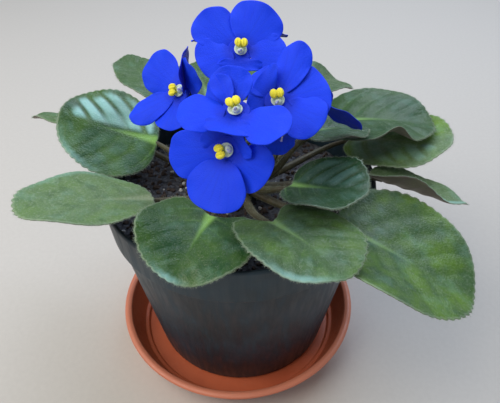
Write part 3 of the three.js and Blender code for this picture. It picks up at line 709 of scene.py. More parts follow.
@finish("throat_waxy_tissue", Roughness=0.45)
def throat_white(tree, look):
    """The throat and ovary: waxy, nearly white tissue with a green cast."""
    colour = add(tree, "Mix", pattern(tree, "TexNoise", 1.4), look.throat, "#b9d6c4")
    skin = add(tree, "Bump", pattern(tree, "TexNoise", 0.8), 0.08 * MM)
    return {"Base Color": colour, "Normal": skin}


@finish("style_flushed_tissue", Roughness=0.5)
def style_mauve(tree):
    """The style: a slim stem of the pistil, flushed mauve."""
    return {"Base Color": add(tree, "Mix", pattern(tree, "TexNoise", 1), "#8f93cf", "#b3b7de")}


@finish("crown_corky_stem", Roughness=0.8)
def crown_bark(tree):
    """The crown: old stem with the scars of dropped leaves, corky and brown."""
    scars = pattern(tree, "TexVoronoi", 3)
    colour = add(tree, "Mix", add(tree, "MapRange", scars, 0.2, 0.7), "#5f5a3c", "#7d7650")
    return {"Base Color": colour, "Normal": add(tree, "Bump", scars, 0.5 * MM)}


@finish("polypropylene_black_thermoformed", IOR=1.49)
def pot_plastic(tree, look):
    """Black polypropylene, thin and thermoformed: a satin skin with a dusty bloom and faint
    runs where water has dried."""
    cloud = pattern(tree, "TexNoise", 22)
    runs = pattern(tree, "TexNoise", 2.6, stretch=(1, 1, 0.08))
    dusty = add(tree, "MapRange", cloud, 0.3, 0.8, 0.1, 0.7)
    colour = add(tree, "Mix", dusty, look.pot, look.pot_dust)
    colour = tinge(tree, colour, look.pot_dust, runs, 0.52, 0.74, 0.5)
    gloss = add(tree, "MapRange", runs, 0.3, 0.7, 0.38, 0.58)
    skin = add(tree, "Bump", pattern(tree, "TexNoise", 1.1), 0.03 * MM)
    return {"Base Color": colour, "Roughness": gloss, "Normal": skin}


@finish("polypropylene_terracotta_moulded", IOR=1.49)
def saucer_plastic(tree, look):
    """Polypropylene in a terracotta colour, injection moulded: an even satin orange brown
    with dried water marks and a lighter top of the rim, partly rubbed wear and partly a
    painted highlight."""
    cloud = pattern(tree, "TexNoise", 16)
    spots = pattern(tree, "TexNoise", 2.4)
    height = add(tree, "SeparateXYZ", add(tree, "TexCoord"))
    top = SAUCER["height"] * MM
    colour = tinge(tree, look.saucer, look.saucer_dark, cloud, 0.35, 0.7, 0.5)
    # The top 2.5 mm is lighter: partly rubbed wear, partly a painted highlight of the light on the
    # rim.
    colour = tinge(tree, colour, look.saucer_rim_wear_and_highlight, height, top - 2.5 * MM, top, 0.5)
    colour = tinge(tree, colour, "#a78f80", spots, 0.62, 0.8, 0.25)
    gloss = add(tree, "MapRange", spots, 0.3, 0.75, 0.36, 0.55)
    skin = add(tree, "Bump", pattern(tree, "TexNoise", 0.9), 0.02 * MM)
    return {"Base Color": colour, "Roughness": gloss, "Normal": skin}


@finish("peat_loose_crumbs", Roughness=0.95, Specular_IOR_Level=0.2)
def peat(tree, look):
    """Peat potting mix: fibres and crumbs, dark grey and paler where dry."""
    crumbs = pattern(tree, "TexNoise", 1.6, 6, 0.7)
    colour = add(tree, "Mix", add(tree, "MapRange", crumbs, 0.35, 0.7), look.soil, look.soil_dry)
    return {"Base Color": colour, "Normal": add(tree, "Bump", crumbs, 0.8 * MM)}


@finish("bark_composted_crumb", Roughness=0.85, Specular_IOR_Level=0.25)
def bark_crumb(tree, look):
    """Composted bark among the peat: dull brown and splintery."""
    grain = pattern(tree, "TexNoise", 0.8, 5)
    colour = add(tree, "Mix", grain, look.soil, "#5c4b3e")
    return {"Base Color": colour, "Normal": add(tree, "Bump", grain, 0.3 * MM)}


@finish("perlite_popped_glass", Roughness=0.85)
def perlite(tree, look):
    """Perlite: popped volcanic glass, off-white and full of tiny pits."""
    pits = pattern(tree, "TexVoronoi", 0.5)
    colour = add(tree, "Mix", add(tree, "MapRange", pits, 0.1, 0.6), "#8f9296", look.perlite)
    return {"Base Color": colour, "Normal": add(tree, "Bump", pits, 0.25 * MM)}


@finish("board_roller_painted", Roughness=0.8, Specular_IOR_Level=0.3)
def studio_board(tree, look):
    """Painted studio board: matt, pale, with the faint mottle of a roller."""
    roller = pattern(tree, "TexNoise", 2.5)
    colour = add(tree, "Mix", roller, look.floor, look.floor_mottle)
    return {"Base Color": colour, "Normal": add(tree, "Bump", roller, 0.03 * MM)}


# Settings

def colour_setting(name, hex_colour, description):
    return bpy.props.FloatVectorProperty(
        name=name, description=description, subtype="COLOR", size=3, min=0, max=1,
        default=linear(hex_colour),
    )


def length_setting(name, mm, description):
    return bpy.props.FloatProperty(
        name=name, description=description, subtype="DISTANCE", unit="LENGTH", min=0,
        default=mm * MM, precision=5,
    )


class VioletLeafSettings(bpy.types.PropertyGroup):
    """Sizes and colours of the leaves and stems"""
    quilting: bpy.props.FloatProperty(
        name="Quilting", description="How much the blade swells between its veins",
        default=1.0, min=0, max=3, subtype="FACTOR")
    hair_length: length_setting("Hair length", 0.95, "Length of the hairs along the edge")
    pile_length: length_setting("Pile length", 0.7, "Length of the hairs on the blade")
    deep_green: colour_setting("Deep green", "#1b4724", "Colour of the darkest blades")
    pale_green: colour_setting("Pale green", "#627f57", "Colour of the palest blades")
    warm_green: colour_setting("Warm green", "#618828", "Patches where the pile is thin")
    rib_green: colour_setting("Rib green", "#92ca62", "Colour of the ribs")
    rib_pale: colour_setting("Pale rib", "#8fa07e", "Colour of the palest ribs")
    under_brown: colour_setting("Underside brown", "#41323e", "Underside of the blades")
    under_green: colour_setting("Underside green", "#6a6f58", "Paler underside patches")
    # Painted reflection: the pale mint of a soft light's sheen on the pile, painted into the
    # leaf's colour.
    silver: colour_setting("Silver", "#96cdc8", "Silvery pile between the veins")
    hair: colour_setting("Hair", "#bccdbb", "Colour of the hairs")
    stem_green: colour_setting("Stem green", "#4b5236", "Green of petioles and stalks")
    stem_brown: colour_setting("Stem brown", "#41332b", "Brown tinge of petioles and stalks")


class VioletBloomSettings(bpy.types.PropertyGroup):
    """Sizes and colours of the blooms"""
    ruffle: length_setting("Ruffle", 0.45, "How far the petal's edge waves")
    petal_blue: colour_setting("Petal blue", "#063af6", "Main colour of the petals")
    petal_light: colour_setting("Petal light", "#1146f7", "Lighter patches of the petals")
    # Near the throat this colour is painted shade; it also colours the streaks and the petal's
    # back.
    petal_deep: colour_setting("Petal deep", "#0f28bc", "Colour near the throat")
    petal_back: colour_setting("Petal back", "#1c35c8", "Colour of the petal's back")
    anther: colour_setting("Anther", "#f1e832", "Colour of the anthers")
    throat: colour_setting("Throat", "#dfe9e2", "Colour of the throat and ovary")


class VioletPotSettings(bpy.types.PropertyGroup):
    """Colours of the pot, saucer and soil"""
    pot: colour_setting("Pot", "#0e212a", "Colour of the clean pot")
    pot_dust: colour_setting("Pot dust", "#2b4352", "Colour of its dusty bloom")
    saucer: colour_setting("Saucer", "#cc6a47", "Colour of the saucer")
    saucer_dark: colour_setting("Saucer dark", "#b5573a", "Darker patches of the saucer")
    # Partly rubbed wear and partly a painted highlight on the top of the rim.
    saucer_rim_wear_and_highlight: colour_setting("Saucer rim", "#de9a82", "Rubbed rim of the saucer")
    soil: colour_setting("Soil", "#34363c", "Colour of moist peat")
    soil_dry: colour_setting("Dry soil", "#666a72", "Colour of dry crumbs")
    perlite: colour_setting("Perlite", "#cfd2d2", "Colour of the perlite")


class VioletStageSettings(bpy.types.PropertyGroup):
    """Floor and light"""
    floor: colour_setting("Floor", "#cdccc8", "Colour of the floor")
    floor_mottle: colour_setting("Floor mottle", "#c4c3bf", "Second colour of the floor")
    key: bpy.props.FloatProperty(
        name="Key light", description="Power of the large soft light", default=8.0, min=0,
        unit="POWER")
    window: bpy.props.FloatProperty(
        name="Back light", description="Power of the soft light behind", default=5.5, min=0,
        unit="POWER")
    sky: bpy.props.FloatProperty(
        name="Room light", description="Strength of the even light", default=0.33, min=0)


# Pot, saucer, soil and crown

ROUND_SIDES = 160
DRILL_SIDES = 24
DRILL_REACH = 3
SOIL_SEED = 11
SOIL_SIDES = 120
CRUMB_CIRCLE = 54.5
CROWN_SIDES = 40


class VIOLET_OT_saucer(bpy.types.Operator):
    """Turn the saucer"""
    bl_idname = "violet.saucer"
    bl_label = "Saucer"

    def execute(self, context):
        s = SAUCER
        edge = s["edge"]
        neck = s["height"] - s["rim_depth"]
        ledge_in, ledge_out = s["ledge"]
        profile = [
            (0, 0), (s["foot"] - edge, 0), (s["foot"], edge), s["shoulder"], (s["neck"], neck),
            (s["rim"], s["height"] - 2 * edge), (s["rim"] - edge / 2, s["height"] - edge / 2),
            (s["rim"] - s["wall"], s["height"]), (s["rim_inner"], s["height"] - edge),
            (s["neck"] - s["wall"], neck), (ledge_out, s["ledge_z"]),
            (ledge_in, s["ledge_z"] - GAP), (s["floor_radius"], s["floor"]), (0, s["floor"]),
        ]
        parts = Parts()
        parts.add(*lathe(rounded(profile, 0.6), ROUND_SIDES))
        look = context.scene.violet_pot
        parts.piece("saucer_moulding", [saucer_plastic(look)], "terracotta_plastic", "saucer")
        return {"FINISHED"}


class VIOLET_OT_pot(bpy.types.Operator):
    """Turn the pot and drill its drain holes"""
    bl_idname = "violet.pot"
    bl_label = "Pot"

    def execute(self, context):
        p = POT
        z = p["stands_at"]
        edge = p["edge"]
        profile = [
            (0, z), (p["base"] - edge, z), (p["base"], z + edge),
            (p["body_top"], p["collar_z"] - edge),
            (p["collar"], p["collar_z"]), (p["rim"], p["rim_z"] - edge),
            (p["rim"] - edge / 2, p["rim_z"]), (p["rim"] - p["wall"], p["rim_z"]),
            (p["collar"] - p["wall"], p["collar_z"] + edge),
            (p["body_top"] - p["wall"], p["collar_z"] - edge),
            (p["base"] - p["wall"], z + p["wall"] + edge), (0, z + p["wall"]),
        ]
        parts = Parts()
        points, faces = lathe(rounded(profile, 0.7), ROUND_SIDES)
        offset = np.array((p["x"], p["y"], 0))
        parts.add(points + offset, faces)
        look = context.scene.violet_pot
        plastic = pot_plastic(look)
        pot = parts.piece("pot_moulding", [plastic], "black_plastic", "pot")
        drills = Parts()
        for i in range(p["drains"]):
            angle = TAU * (i + 0.5) / p["drains"]
            middle = np.array((math.cos(angle), math.sin(angle), 0)) * p["drain_circle"]
            r = p["drain_radius"]
            low, high = z - DRILL_REACH, z + DRILL_REACH
            points, faces = lathe([(0, low), (r, low), (r, high), (0, high)], DRILL_SIDES)
            drills.add(points + middle + offset, faces)
        cutter = drills.piece("drain_drills", [plastic], "black_plastic")
        cut = pot.modifiers.new("drains", "BOOLEAN")
        cut.object = cutter
        cut.operation = "DIFFERENCE"
        cut.solver = "EXACT"
        context.view_layer.objects.active = pot
        bpy.ops.object.modifier_apply(modifier=cut.name)
        bpy.data.objects.remove(cutter)
        pot.data.set_sharp_from_angle(angle=math.radians(SHARP_EDGE))
        return {"FINISHED"}


def lump(rng, centre, size):
    """One rough crumb: an egg with knocked-in places."""
    axes = unit(rng.normal(0, 1, (3, 3)))
    axes[1] = unit(np.cross(axes[0], axes[1]))
    axes[2] = np.cross(axes[0], axes[1])
    radii = size * rng.uniform(0.6, 1.1, 3)
    points, faces = egg(centre, axes, radii, 5, 6)
    return points + rng.normal(0, 0.13 * size, points.shape), faces


class VIOLET_OT_soil(bpy.types.Operator):
    """Fill the pot with peat, bark crumbs and perlite"""
    bl_idname = "violet.soil"
    bl_label = "Soil"

    crumbs: bpy.props.IntProperty(name="Crumbs", description="Loose crumbs", default=900, min=0)
    grains: bpy.props.IntProperty(name="Perlite", description="Perlite grains", default=150, min=0)

    def execute(self, context):
        p = POT
        rng = np.random.default_rng(SOIL_SEED)
        look = context.scene.violet_pot
        inner = p["wall"] + GAP
        floor = p["stands_at"] + p["wall"] + p["edge"] + GAP
        edge = p["collar"] - inner + GAP
        rings = np.linspace(edge - 0.4, 8, 30)
        profile = [
            (0, floor), (p["base"] - inner, floor),
            (p["body_top"] - inner, p["collar_z"] - p["edge"]),
            (p["collar"] - inner, p["collar_z"] + p["edge"]), (edge, SOIL_TOP - 1),
        ]
        profile += [(r, SOIL_TOP + SOIL_MOUND * (1 - r / SOIL_RADIUS)) for r in rings]
        profile.append((0, SOIL_TOP + SOIL_MOUND))
        points, faces = lathe(profile, SOIL_SIDES)
        top = points[:, 2] > SOIL_TOP - 0.8
        for i in np.nonzero(top)[0]:
            place = Vector(points[i]) / 3.2
            points[i, 2] += 0.9 * noise.fractal(place, 0.8, 2.1, 3)
        offset = np.array((p["x"], p["y"], 0))
        parts = Parts()
        parts.add(points + offset, faces)
        for kind, count, low, high in ((1, self.crumbs, 0.5, 1.5), (2, self.grains, 0.45, 1.0)):
            for _ in range(count):
                r = CRUMB_CIRCLE * math.sqrt(rng.uniform(0.03, 1))
                a = rng.uniform(0, TAU)
                z = SOIL_TOP + SOIL_MOUND * (1 - r / SOIL_RADIUS) + 0.2
                size = rng.uniform(low, high)
                centre = np.array((r * math.cos(a), r * math.sin(a), z)) + offset
                parts.add(*lump(rng, centre, size), kind)
        finishes = [peat(look), bark_crumb(look), perlite(look)]
        parts.piece("soil_fill", finishes, "potting_soil", "soil")
        return {"FINISHED"}


class VIOLET_OT_crown(bpy.types.Operator):
    """Make the short stem that everything grows from"""
    bl_idname = "violet.crown"
    bl_label = "Crown"

    def execute(self, context):
        c = CROWN
        profile = [(0, c["bottom"]), (c["radius"] - 1.5, c["bottom"])]
        for z in np.linspace(c["bottom"] + 3, c["top"] - 2, 26):
            profile.append((c["radius"], z))
        profile += [(c["radius"] - 2, c["top"] - 0.6), (0, c["top"])]
        points, faces = lathe(profile, CROWN_SIDES)
        for i, point in enumerate(points):
            swell = 0.45 * noise.noise(Vector(point) / 2.6) - 0.3
            radial = np.array((point[0], point[1], 0)) / c["radius"]
            points[i] += radial * swell
        parts = Parts()
        parts.add(points + np.array((c["x"], c["y"], 0)), faces)
        parts.piece("crown_stem", [crown_bark()], "crown_tissue", "crown")
        return {"FINISHED"}


# Leaves

VEIN_SPACING = 0.18
LEAF_REACHES = np.concatenate((np.linspace(0.05, 0.9, 20), (0.93, 0.95, 0.965, 0.98, 0.993, 1)))
LEAF_COUNT = 232
SCALLOP_LENGTH = 3.6
EDGE_HAIRS = 700
PILE_HAIRS = 1300
HAIR_RADIUS = 0.03
PETIOLE_STEPS = 22
PETIOLE_SIDES = 12
PETIOLE_HAIRS = 220
PETIOLE_RADII = (2.1, 0.8)
PETIOLE_UNDER_BLADE = 6
STEM_HAIR = 0.9
STEM_HAIR_RADIUS = 0.035
LEAF_SEED = 100

# Places in a leaf's list of finishes; a petal's underside has the same place in its own.

UNDERSIDE, HAIR, STEM = 1, 2, 3


def vein_field(form, x, y):
    """Distance to the nearest side vein, the number of the panel and the veins' spacing."""
    half = form["width"] / 2
    rise = np.clip(y / form["length"], -0.15, 1)
    far = np.abs(x)
    slope = 0.2 + 0.55 * rise
    spacing = VEIN_SPACING * form["length"]
    field = (y - slope * far - 0.35 * far ** 2 / half) / spacing + 0.3 * (x > 0)
    return np.abs(field - np.round(field)) * spacing, np.floor(field), spacing


def rib_strength(form, x, y):
    """How much of the middle rib is at a point: plain near the petiole, then fading."""
    rise = np.clip(y / form["length"], 0, 1)
    width = 0.6 + 1.9 * (1 - rise) ** 2
    return np.exp(-(x / width) ** 2) * (1 - rise) ** 2


def leaf_relief(form, quilting):
    """Swells the blade between its veins and sinks the ribs into its face."""
    def relief(x, y, angle, reach):
        distance, panel, spacing = vein_field(form, x, y)
        far = np.abs(x)
        pillow = np.sin(math.pi * np.clip(distance / spacing, 0, 0.5)) ** 1.2
        ripple = 0.82 + 0.18 * np.cos(TAU * far / 6.2 + 2.1 * panel)
        envelope = smooth(far, 0, 5) * (1 - reach ** 7) * np.where(x < 0, form["calm"], 1)
        swell = quilting * form["quilt"] * (pillow * ripple - 0.4) * envelope
        return swell - form["sink"] * rib_strength(form, x, y) * (1 - reach ** 6)
    return relief


def painted_sheen_marks(form, angle, reach):
    """How much painted reflection the pile gets: a pale sheen painted as a wash over a half,
    strongest on its pillows, where the pile lies flat, and a painted highlight along a
    stretch of the edge."""
    x, y = blade_flat(form, angle, reach)
    distance, panel, spacing = vein_field(form, x, y)
    pillow = smooth(distance / spacing, 0.08, 0.3)
    wash = 1 - (1 - pillow) * smooth(reach, 0.2, 0.55)
    streaky = 0.6 + 0.4 * np.sin(1.7 * panel + x / 3.5)
    end = 0.84 + 0.05 * np.sin(2.9 * panel + y / 6)
    right, left = form["silver"]
    panels = (np.where(x > 0, right, left) * (0.45 * wash + 0.55 * pillow * streaky)
              * smooth(np.abs(x), 1, 4) * (1 - smooth(reach, end - 0.08, end + 0.07)))
    turn = np.degrees(from_tip(angle))
    middle, spread, share = form["painted_glint"]
    return np.maximum(panels, share * np.exp(-(((turn - middle) / spread) ** 2))
                      * smooth(reach, 0.84, 0.95))


def vein_marks(form, angle, reach):
    """How much of a vein is at each point of the blade."""
    x, y = blade_flat(form, angle, reach)
    distance, _, _ = vein_field(form, x, y)
    near = np.clip(1 - np.hypot(x, y) / (0.75 * form["length"]), 0, 1)
    side = 0.45 * np.exp(-(distance / 0.6) ** 2) * near * smooth(np.abs(x), 0.5, 3)
    return np.maximum(rib_strength(form, x, y), side)


def leaf_form(name, index):
    """All that shapes a leaf, with a scallop every few millimetres of its outline."""
    leaf = dict(zip(LEAF_FIELDS, LEAVES[name]))
    around = 1.7 * (leaf["length"] + leaf["width"])
    return {
        **COMMON_LEAF, **leaf, **LEAF_TRAITS.get(name, {}),
        "teeth": round(around / SCALLOP_LENGTH), "seed": 1.7 * index,
    }


def add_petiole(parts, form, axes, rng):
    """The leaf's stem, from the crown to under its blade, with hairs."""
    start, out = crown_start(*form["start"])
    _, along, up = axes
    end = np.array(form["at"]) + along * PETIOLE_UNDER_BLADE - up * 0.9
    line = bend_between(start, out, end, along, PETIOLE_STEPS, 0.35, 0.35)
    points, faces, outward = rod(line, np.linspace(*PETIOLE_RADII, len(line)), PETIOLE_SIDES)
    parts.add(points, faces, STEM, pale=form["pale"])
    picks = rng.integers(2 * PETIOLE_SIDES, 17 * PETIOLE_SIDES, PETIOLE_HAIRS)
    ahead = unit(np.roll(line, -1, 0) - line)[picks // PETIOLE_SIDES]
    roots = points[picks] + ahead * rng.uniform(0, 1.2, (PETIOLE_HAIRS, 1))
    hairs(parts, roots, outward[picks], STEM_HAIR, STEM_HAIR_RADIUS, HAIR, rng, 0.3)


def add_edge_hairs(parts, blade, length, rng):
    """Hairs that stand out from the blade's edge."""
    points, inner = blade["points"], blade["inner"]
    picks = rng.integers(0, LEAF_COUNT, EDGE_HAIRS)
    share = rng.uniform(0, 1, (EDGE_HAIRS, 1))
    edge = inner + picks
    after = inner + (picks + 1) % LEAF_COUNT
    roots = points[edge] * (1 - share) + points[after] * share
    ways = unit(points[edge] - points[edge - 3 * LEAF_COUNT]) + 0.35 * blade["normal"][edge]
    hairs(parts, roots, ways, length, HAIR_RADIUS, HAIR, rng, 0.25)


def add_pile(parts, blade, length, rng):
    """Hairs over the blade's face, thicker towards its edge."""
    points = blade["points"]
    picks = rng.integers(1, blade["inner"] - LEAF_COUNT, PILE_HAIRS)
    picks = picks[rng.uniform(0, 1, PILE_HAIRS) < blade["reach"][picks] ** 0.8]
    beside = points[picks + 1]
    share = rng.uniform(0, 1, (len(picks), 1))
    roots = beside + share * (points[picks + LEAF_COUNT] - beside)
    hairs(parts, roots, blade["normal"][picks], length, HAIR_RADIUS, HAIR, rng, 0.35)


def make_leaf(name, index, look, finishes):
    """One leaf: its blade, hairs and petiole."""
    rng = np.random.default_rng(LEAF_SEED + index)
    form = leaf_form(name, index)
    axes = axes_of(*form["turns"])
    base = np.array(form["at"], float)

    def thickness(angle, reach):
        return LEAF_THICKNESS / 2 * (1 - 0.3 * reach) * edge_rounding(reach)

    def with_ribs(angle, reach):
        ribs = 0.35 * vein_marks(form, angle, reach) * edge_rounding(reach)
        return thickness(angle, reach) + ribs

    relief = leaf_relief(form, look.quilting)
    blade = plate(form, axes, base, relief, LEAF_REACHES, LEAF_COUNT, thickness, with_ribs)
    angle, reach = blade["angle"], blade["reach"]
    parts = Parts("vein", "pale", "warm", "rim", "silver")
    parts.add_blade(
        blade, UNDERSIDE, pale=form["pale"], warm=form["warm"], rim=smooth(reach, 0.93, 1),
        vein=vein_marks(form, angle, reach), silver=painted_sheen_marks(form, angle, reach),
    )
    add_edge_hairs(parts, blade, look.hair_length / MM, rng)
    add_pile(parts, blade, look.pile_length / MM, rng)
    add_petiole(parts, form, axes, rng)
    parts.piece(f"{name}_blade", finishes, "leaf_tissue", name, sharp=NO_EDGE)


class VIOLET_OT_leaves(bpy.types.Operator):
    """Grow the leaves with their petioles and hairs"""
    bl_idname = "violet.leaves"
    bl_label = "Leaves"

    def execute(self, context):
        look = context.scene.violet_leaf
        finishes = [leaf_top(look), leaf_underside(look), plant_hair(look), stem_tissue(look)]
        for index, name in enumerate(LEAVES):
            make_leaf(name, index, look, finishes)
        return {"FINISHED"}


# Blooms

BLOOM_SIDES = 36
PETAL_REACHES = np.concatenate((np.linspace(0.1, 0.9, 11), (0.94, 0.97, 0.99, 1)))
PETAL_COUNT = 72
PETAL_THICKNESS = 0.6
PETAL_LINES = 11
STYLE_RADIUS = 0.32
STIGMA_RADIUS = 0.45


def bloom_axes(name):
    """Middle, side, up and outward direction of a bloom."""
    at, facing, _, _ = BLOOMS[name]
    side, out, up = axes_of(*facing, 0)
    return np.array(at, float), side, up, out


def spun_axes(name):
    """The bloom's axes turned with its anthers."""
    middle, side, up, out = bloom_axes(name)
    spin = math.radians(BLOOMS[name][2])
    c, s = math.cos(spin), math.sin(spin)
    return middle, side * c + up * s, up * c - side * s, out


def within(axes, side, up, out):
    """A place given along a bloom's axes."""
    return axes[0] + axes[1] * side + axes[2] * up + axes[3] * out


def bloom_lathe(axes, profile, radius):
    """A body turned about the way that a bloom faces."""
    middle, side, up, out = axes
    points, faces = lathe(rounded(profile, radius, 3), BLOOM_SIDES)
    return middle + points @ np.array((up, side, out)), faces


def petal_lines(x, y):
    """Fine lines that fan out over a petal: 1 on a line and -1 between two."""
    return np.cos(PETAL_LINES * np.arctan2(x, y + 3) * TAU / 2)


def add_petal(parts, axes, petal, index, ruffle, seed):
    """One petal, ruffled at its edge, with painted shade darkening it near the throat."""
    turn, length, width, lift, curl, twist = petal
    middle, _, _, out = axes
    away, petal_axes = leaning(axes, *np.radians((turn, lift, twist)))
    form = {
        **PLAIN_BLADE, "length": length - PETAL_START, "width": width, "bend": curl,
        "cup": -0.06, "egg": -0.2, "wave": 0.5, "waves": 3, "phase": index * 2,
        "tooth": 0.008, "teeth": 9, "seed": seed,
    }
    base = middle + away * PETAL_START + out * PETAL_LAYERS[index]

    def relief(x, y, angle, reach):
        edge = ruffle * reach ** 5 * np.sin(7 * angle + seed) * 0.6
        return edge - 0.02 * petal_lines(x, y) * smooth(reach, 0.1, 0.5)

    def thickness(angle, reach):
        return PETAL_THICKNESS / 2 * (1 - 0.35 * reach) * edge_rounding(reach, 0.93)

    blade = plate(
        form, petal_axes, base, relief, PETAL_REACHES, PETAL_COUNT, thickness, thickness)
    reach = blade["reach"]
    x, y = blade_flat(form, blade["angle"], reach)
    throat = 1 - smooth(np.hypot(x, y + PETAL_START), 2.5, 10)
    streak = (0.5 + 0.5 * petal_lines(x, y)) ** 3 * (1 - reach ** 3)
    parts.add_blade(blade, UNDERSIDE, throat=throat, streak=streak)


class VIOLET_OT_petals(bpy.types.Operator):
    """Grow the petals of each bloom on its short tube"""
    bl_idname = "violet.petals"
    bl_label = "Petals"

    def execute(self, context):
        look = context.scene.violet_bloom
        finishes = [petal_tissue(look), petal_underside(look)]
        tube = [
            (0, -TUBE_DEPTH), (1.6, -TUBE_DEPTH), (1.9, -2), (3.4, -1.2),
            (HUB_RADIUS, -0.8), (HUB_RADIUS + 0.4, -0.1), (HUB_RADIUS, HUB_TOP),
            (2.4, 0.15), (0, 0.1),
        ]
        for number, (name, (_, _, _, petals)) in enumerate(BLOOMS.items()):
            axes = bloom_axes(name)
            parts = Parts("throat", "streak")
            for index, petal in enumerate(petals):
                add_petal(parts, axes, petal, index, look.ruffle / MM, number * 2.3 + index)
            # The tube is marked for the full painted shade of the throat.
            parts.add(*bloom_lathe(axes, tube, 0.4), throat=1.0)
            parts.piece(f"{name}_petals", finishes, "petal_tissue", f"bloom_{name}", sharp=NO_EDGE)
        return {"FINISHED"}


class VIOLET_OT_anthers(bpy.types.Operator):
    """Set a pair of anthers in each throat"""
    bl_idname = "violet.anthers"
    bl_label = "Anthers"

    def execute(self, context):
        yellow = pollen_yellow(context.scene.violet_bloom)
        for name in BLOOMS:
            axes = spun_axes(name)
            _, side, up, out = axes
            parts = Parts()
            for hand in (-1, 1):
                centre = within(axes, 1.1 * hand, -1.5, THROAT_TOP + 1.8)
                parts.add(*egg(centre, (up, side, out), ANTHER_HALF, 18, 28, 0.35))
                line = bend_between(
                    within(axes, 0.5 * hand, -1.0, THROAT_TOP + 0.1), out,
                    within(axes, 0.8 * hand, -1.4, THROAT_TOP + 1.4), out, 6, 0.3, 0.3)
                points, faces, _ = rod(line, np.linspace(0.45, 0.35, len(line)), 8)
                parts.add(points, faces)
            parts.piece(f"{name}_pollen_sacs", [yellow], "anther_tissue", f"anthers_{name}")
        return {"FINISHED"}


class VIOLET_OT_pistils(bpy.types.Operator):
    """Set the pale throat, ovary and style in each bloom"""
    bl_idname = "violet.pistils"
    bl_label = "Throats and pistils"

    def execute(self, context):
        look = context.scene.violet_bloom
        white = throat_white(look)
        mauve = style_mauve()
        low = HUB_TOP + GAP
        throat = [
            (0, low), (2.1, low), (2.4, THROAT_TOP - 0.25), (2.1, THROAT_TOP + 0.05),
            (1.2, THROAT_TOP - 0.15), (0, THROAT_TOP - 0.2),
        ]
        for name in BLOOMS:
            axes = spun_axes(name)
            _, side, up, out = axes
            parts = Parts()
            parts.add(*bloom_lathe(axes, throat, 0.3))
            centre = within(axes, 0, 1.1, THROAT_TOP + 0.5)
            parts.add(*egg(centre, (up, side, out), OVARY_HALF, 12, 20))
            start = within(axes, 0, 1.2, THROAT_TOP + 1)
            end = within(axes, -0.9, 2.9, THROAT_TOP + 2.8)
            line = bend_between(start, out, end, unit(up * 2 + out), 10, 0.4, 0.3)
            radii = np.full(len(line), STYLE_RADIUS)
            radii[-2:] = STIGMA_RADIUS
            points, faces, _ = rod(line, radii, 10)
            parts.add(points, faces, 1)
            parts.piece(f"{name}_throat", [white, mauve], "pistil_tissue", f"pistil_{name}")
        return {"FINISHED"}


# Bloom stalks

STALK_RADII = (1.25, 0.95)
STALK_HAIRS = 260
BRANCH_RADIUS = 0.8
BRANCH_HAIRS = 150
CALYX_RADII = (1.4, 1.6)
STALK_SEED = 300
STEM_TISSUE, STEM_HAIRS = 0, 1
SEPAL_REACHES = np.array((0.35, 0.7, 0.92, 1))
SEPAL_COUNT = 16
SEPAL_LIFT = math.atan(0.5)


def add_stem(parts, line, radii, sides, rng, hair_count):
    """A stem along a line, with hairs between its ends."""
    points, faces, outward = rod(line, radii, sides)
    parts.add(points, faces, STEM_TISSUE)
    picks = rng.integers(sides, len(outward) - sides, hair_count)
    hairs(parts, points[picks], outward[picks], STEM_HAIR, STEM_HAIR_RADIUS, STEM_HAIRS, rng, 0.35)


def add_sepals(parts, axes, seed):
    """Five narrow pointed sepals that cup the tube."""
    form = {
        **PLAIN_BLADE, "length": 4.4, "width": 1.9, "bend": 0, "cup": 0.15, "egg": 0.35,
        "wave": 0, "waves": 1, "phase": 0, "tooth": 0, "teeth": 4, "seed": seed,
    }
    base = axes[0] + axes[3] * (CALYX_SEAT - CALYX_DEPTH)

    def relief(x, y, angle, reach):
        return 0 * x

    def thickness(angle, reach):
        return 0.35 * edge_rounding(reach, 0.85)

    for k in range(SEPALS):
        _, sepal_axes = leaning(axes, TAU * k / SEPALS, SEPAL_LIFT)
        blade = plate(
            form, sepal_axes, base, relief, SEPAL_REACHES, SEPAL_COUNT, thickness, thickness)
        parts.add_blade(blade, STEM_TISSUE)


class VIOLET_OT_stalks(bpy.types.Operator):
    """Grow the bloom stalks with their branches, sepals and hairs"""
    bl_idname = "violet.stalks"
    bl_label = "Bloom stalks"

    def execute(self, context):
        look = context.scene.violet_leaf
        finishes = [stem_tissue(look), plant_hair(look)]
        for index, (name, (start_at, fork, blooms)) in enumerate(STALKS.items()):
            rng = np.random.default_rng(STALK_SEED + index)
            start, out = crown_start(*start_at)
            fork = np.array(fork, float)
            rise = unit(unit(fork - start) + np.array((0, 0, 0.6)))
            parts = Parts()
            line = bend_between(start, out, fork, rise, 20, 0.38, 0.38)
            add_stem(parts, line, np.linspace(*STALK_RADII, len(line)), 12, rng, STALK_HAIRS)
            for bloom in blooms:
                axes = bloom_axes(bloom)
                neck = within(axes, 0, 0, CALYX_SEAT - 2 * CALYX_DEPTH)
                line = bend_between(fork - rise, rise, neck, axes[3], 16, 0.38, 0.15)
                seats = [within(axes, 0, 0, CALYX_SEAT - CALYX_DEPTH * k) for k in (1, 0)]
                line = np.vstack((line, seats))
                radii = [*np.full(len(line) - 2, BRANCH_RADIUS), *CALYX_RADII]
                add_stem(parts, line, radii, 10, rng, BRANCH_HAIRS)
                add_sepals(parts, axes, index)
            parts.piece(f"{name}_stem", finishes, "stalk_tissue", name)
        return {"FINISHED"}


# Stage: floor, light and camera

CAMERA_AT = (0, -174.5, 230.4)
CAMERA_PITCH = 0.702
CAMERA_YAW = 0.037
CAMERA_ROLL = -0.004
FRAME_WIDTH = 500
FOCAL_PIXELS = 500
FLOOR_HALF = 12.0

# Each softbox: where it stands and its side, in metres, and the colour of its light.

SOFTBOXES = {
    "key_softbox": ((-0.55, -0.2, 0.85), 0.8, "#fff6ea"),
    "back_window": ((0.28, 0.47, 0.84), 0.65, "#dfeaff"),
}
LIGHT_AIM = (0, 0, 0.1)


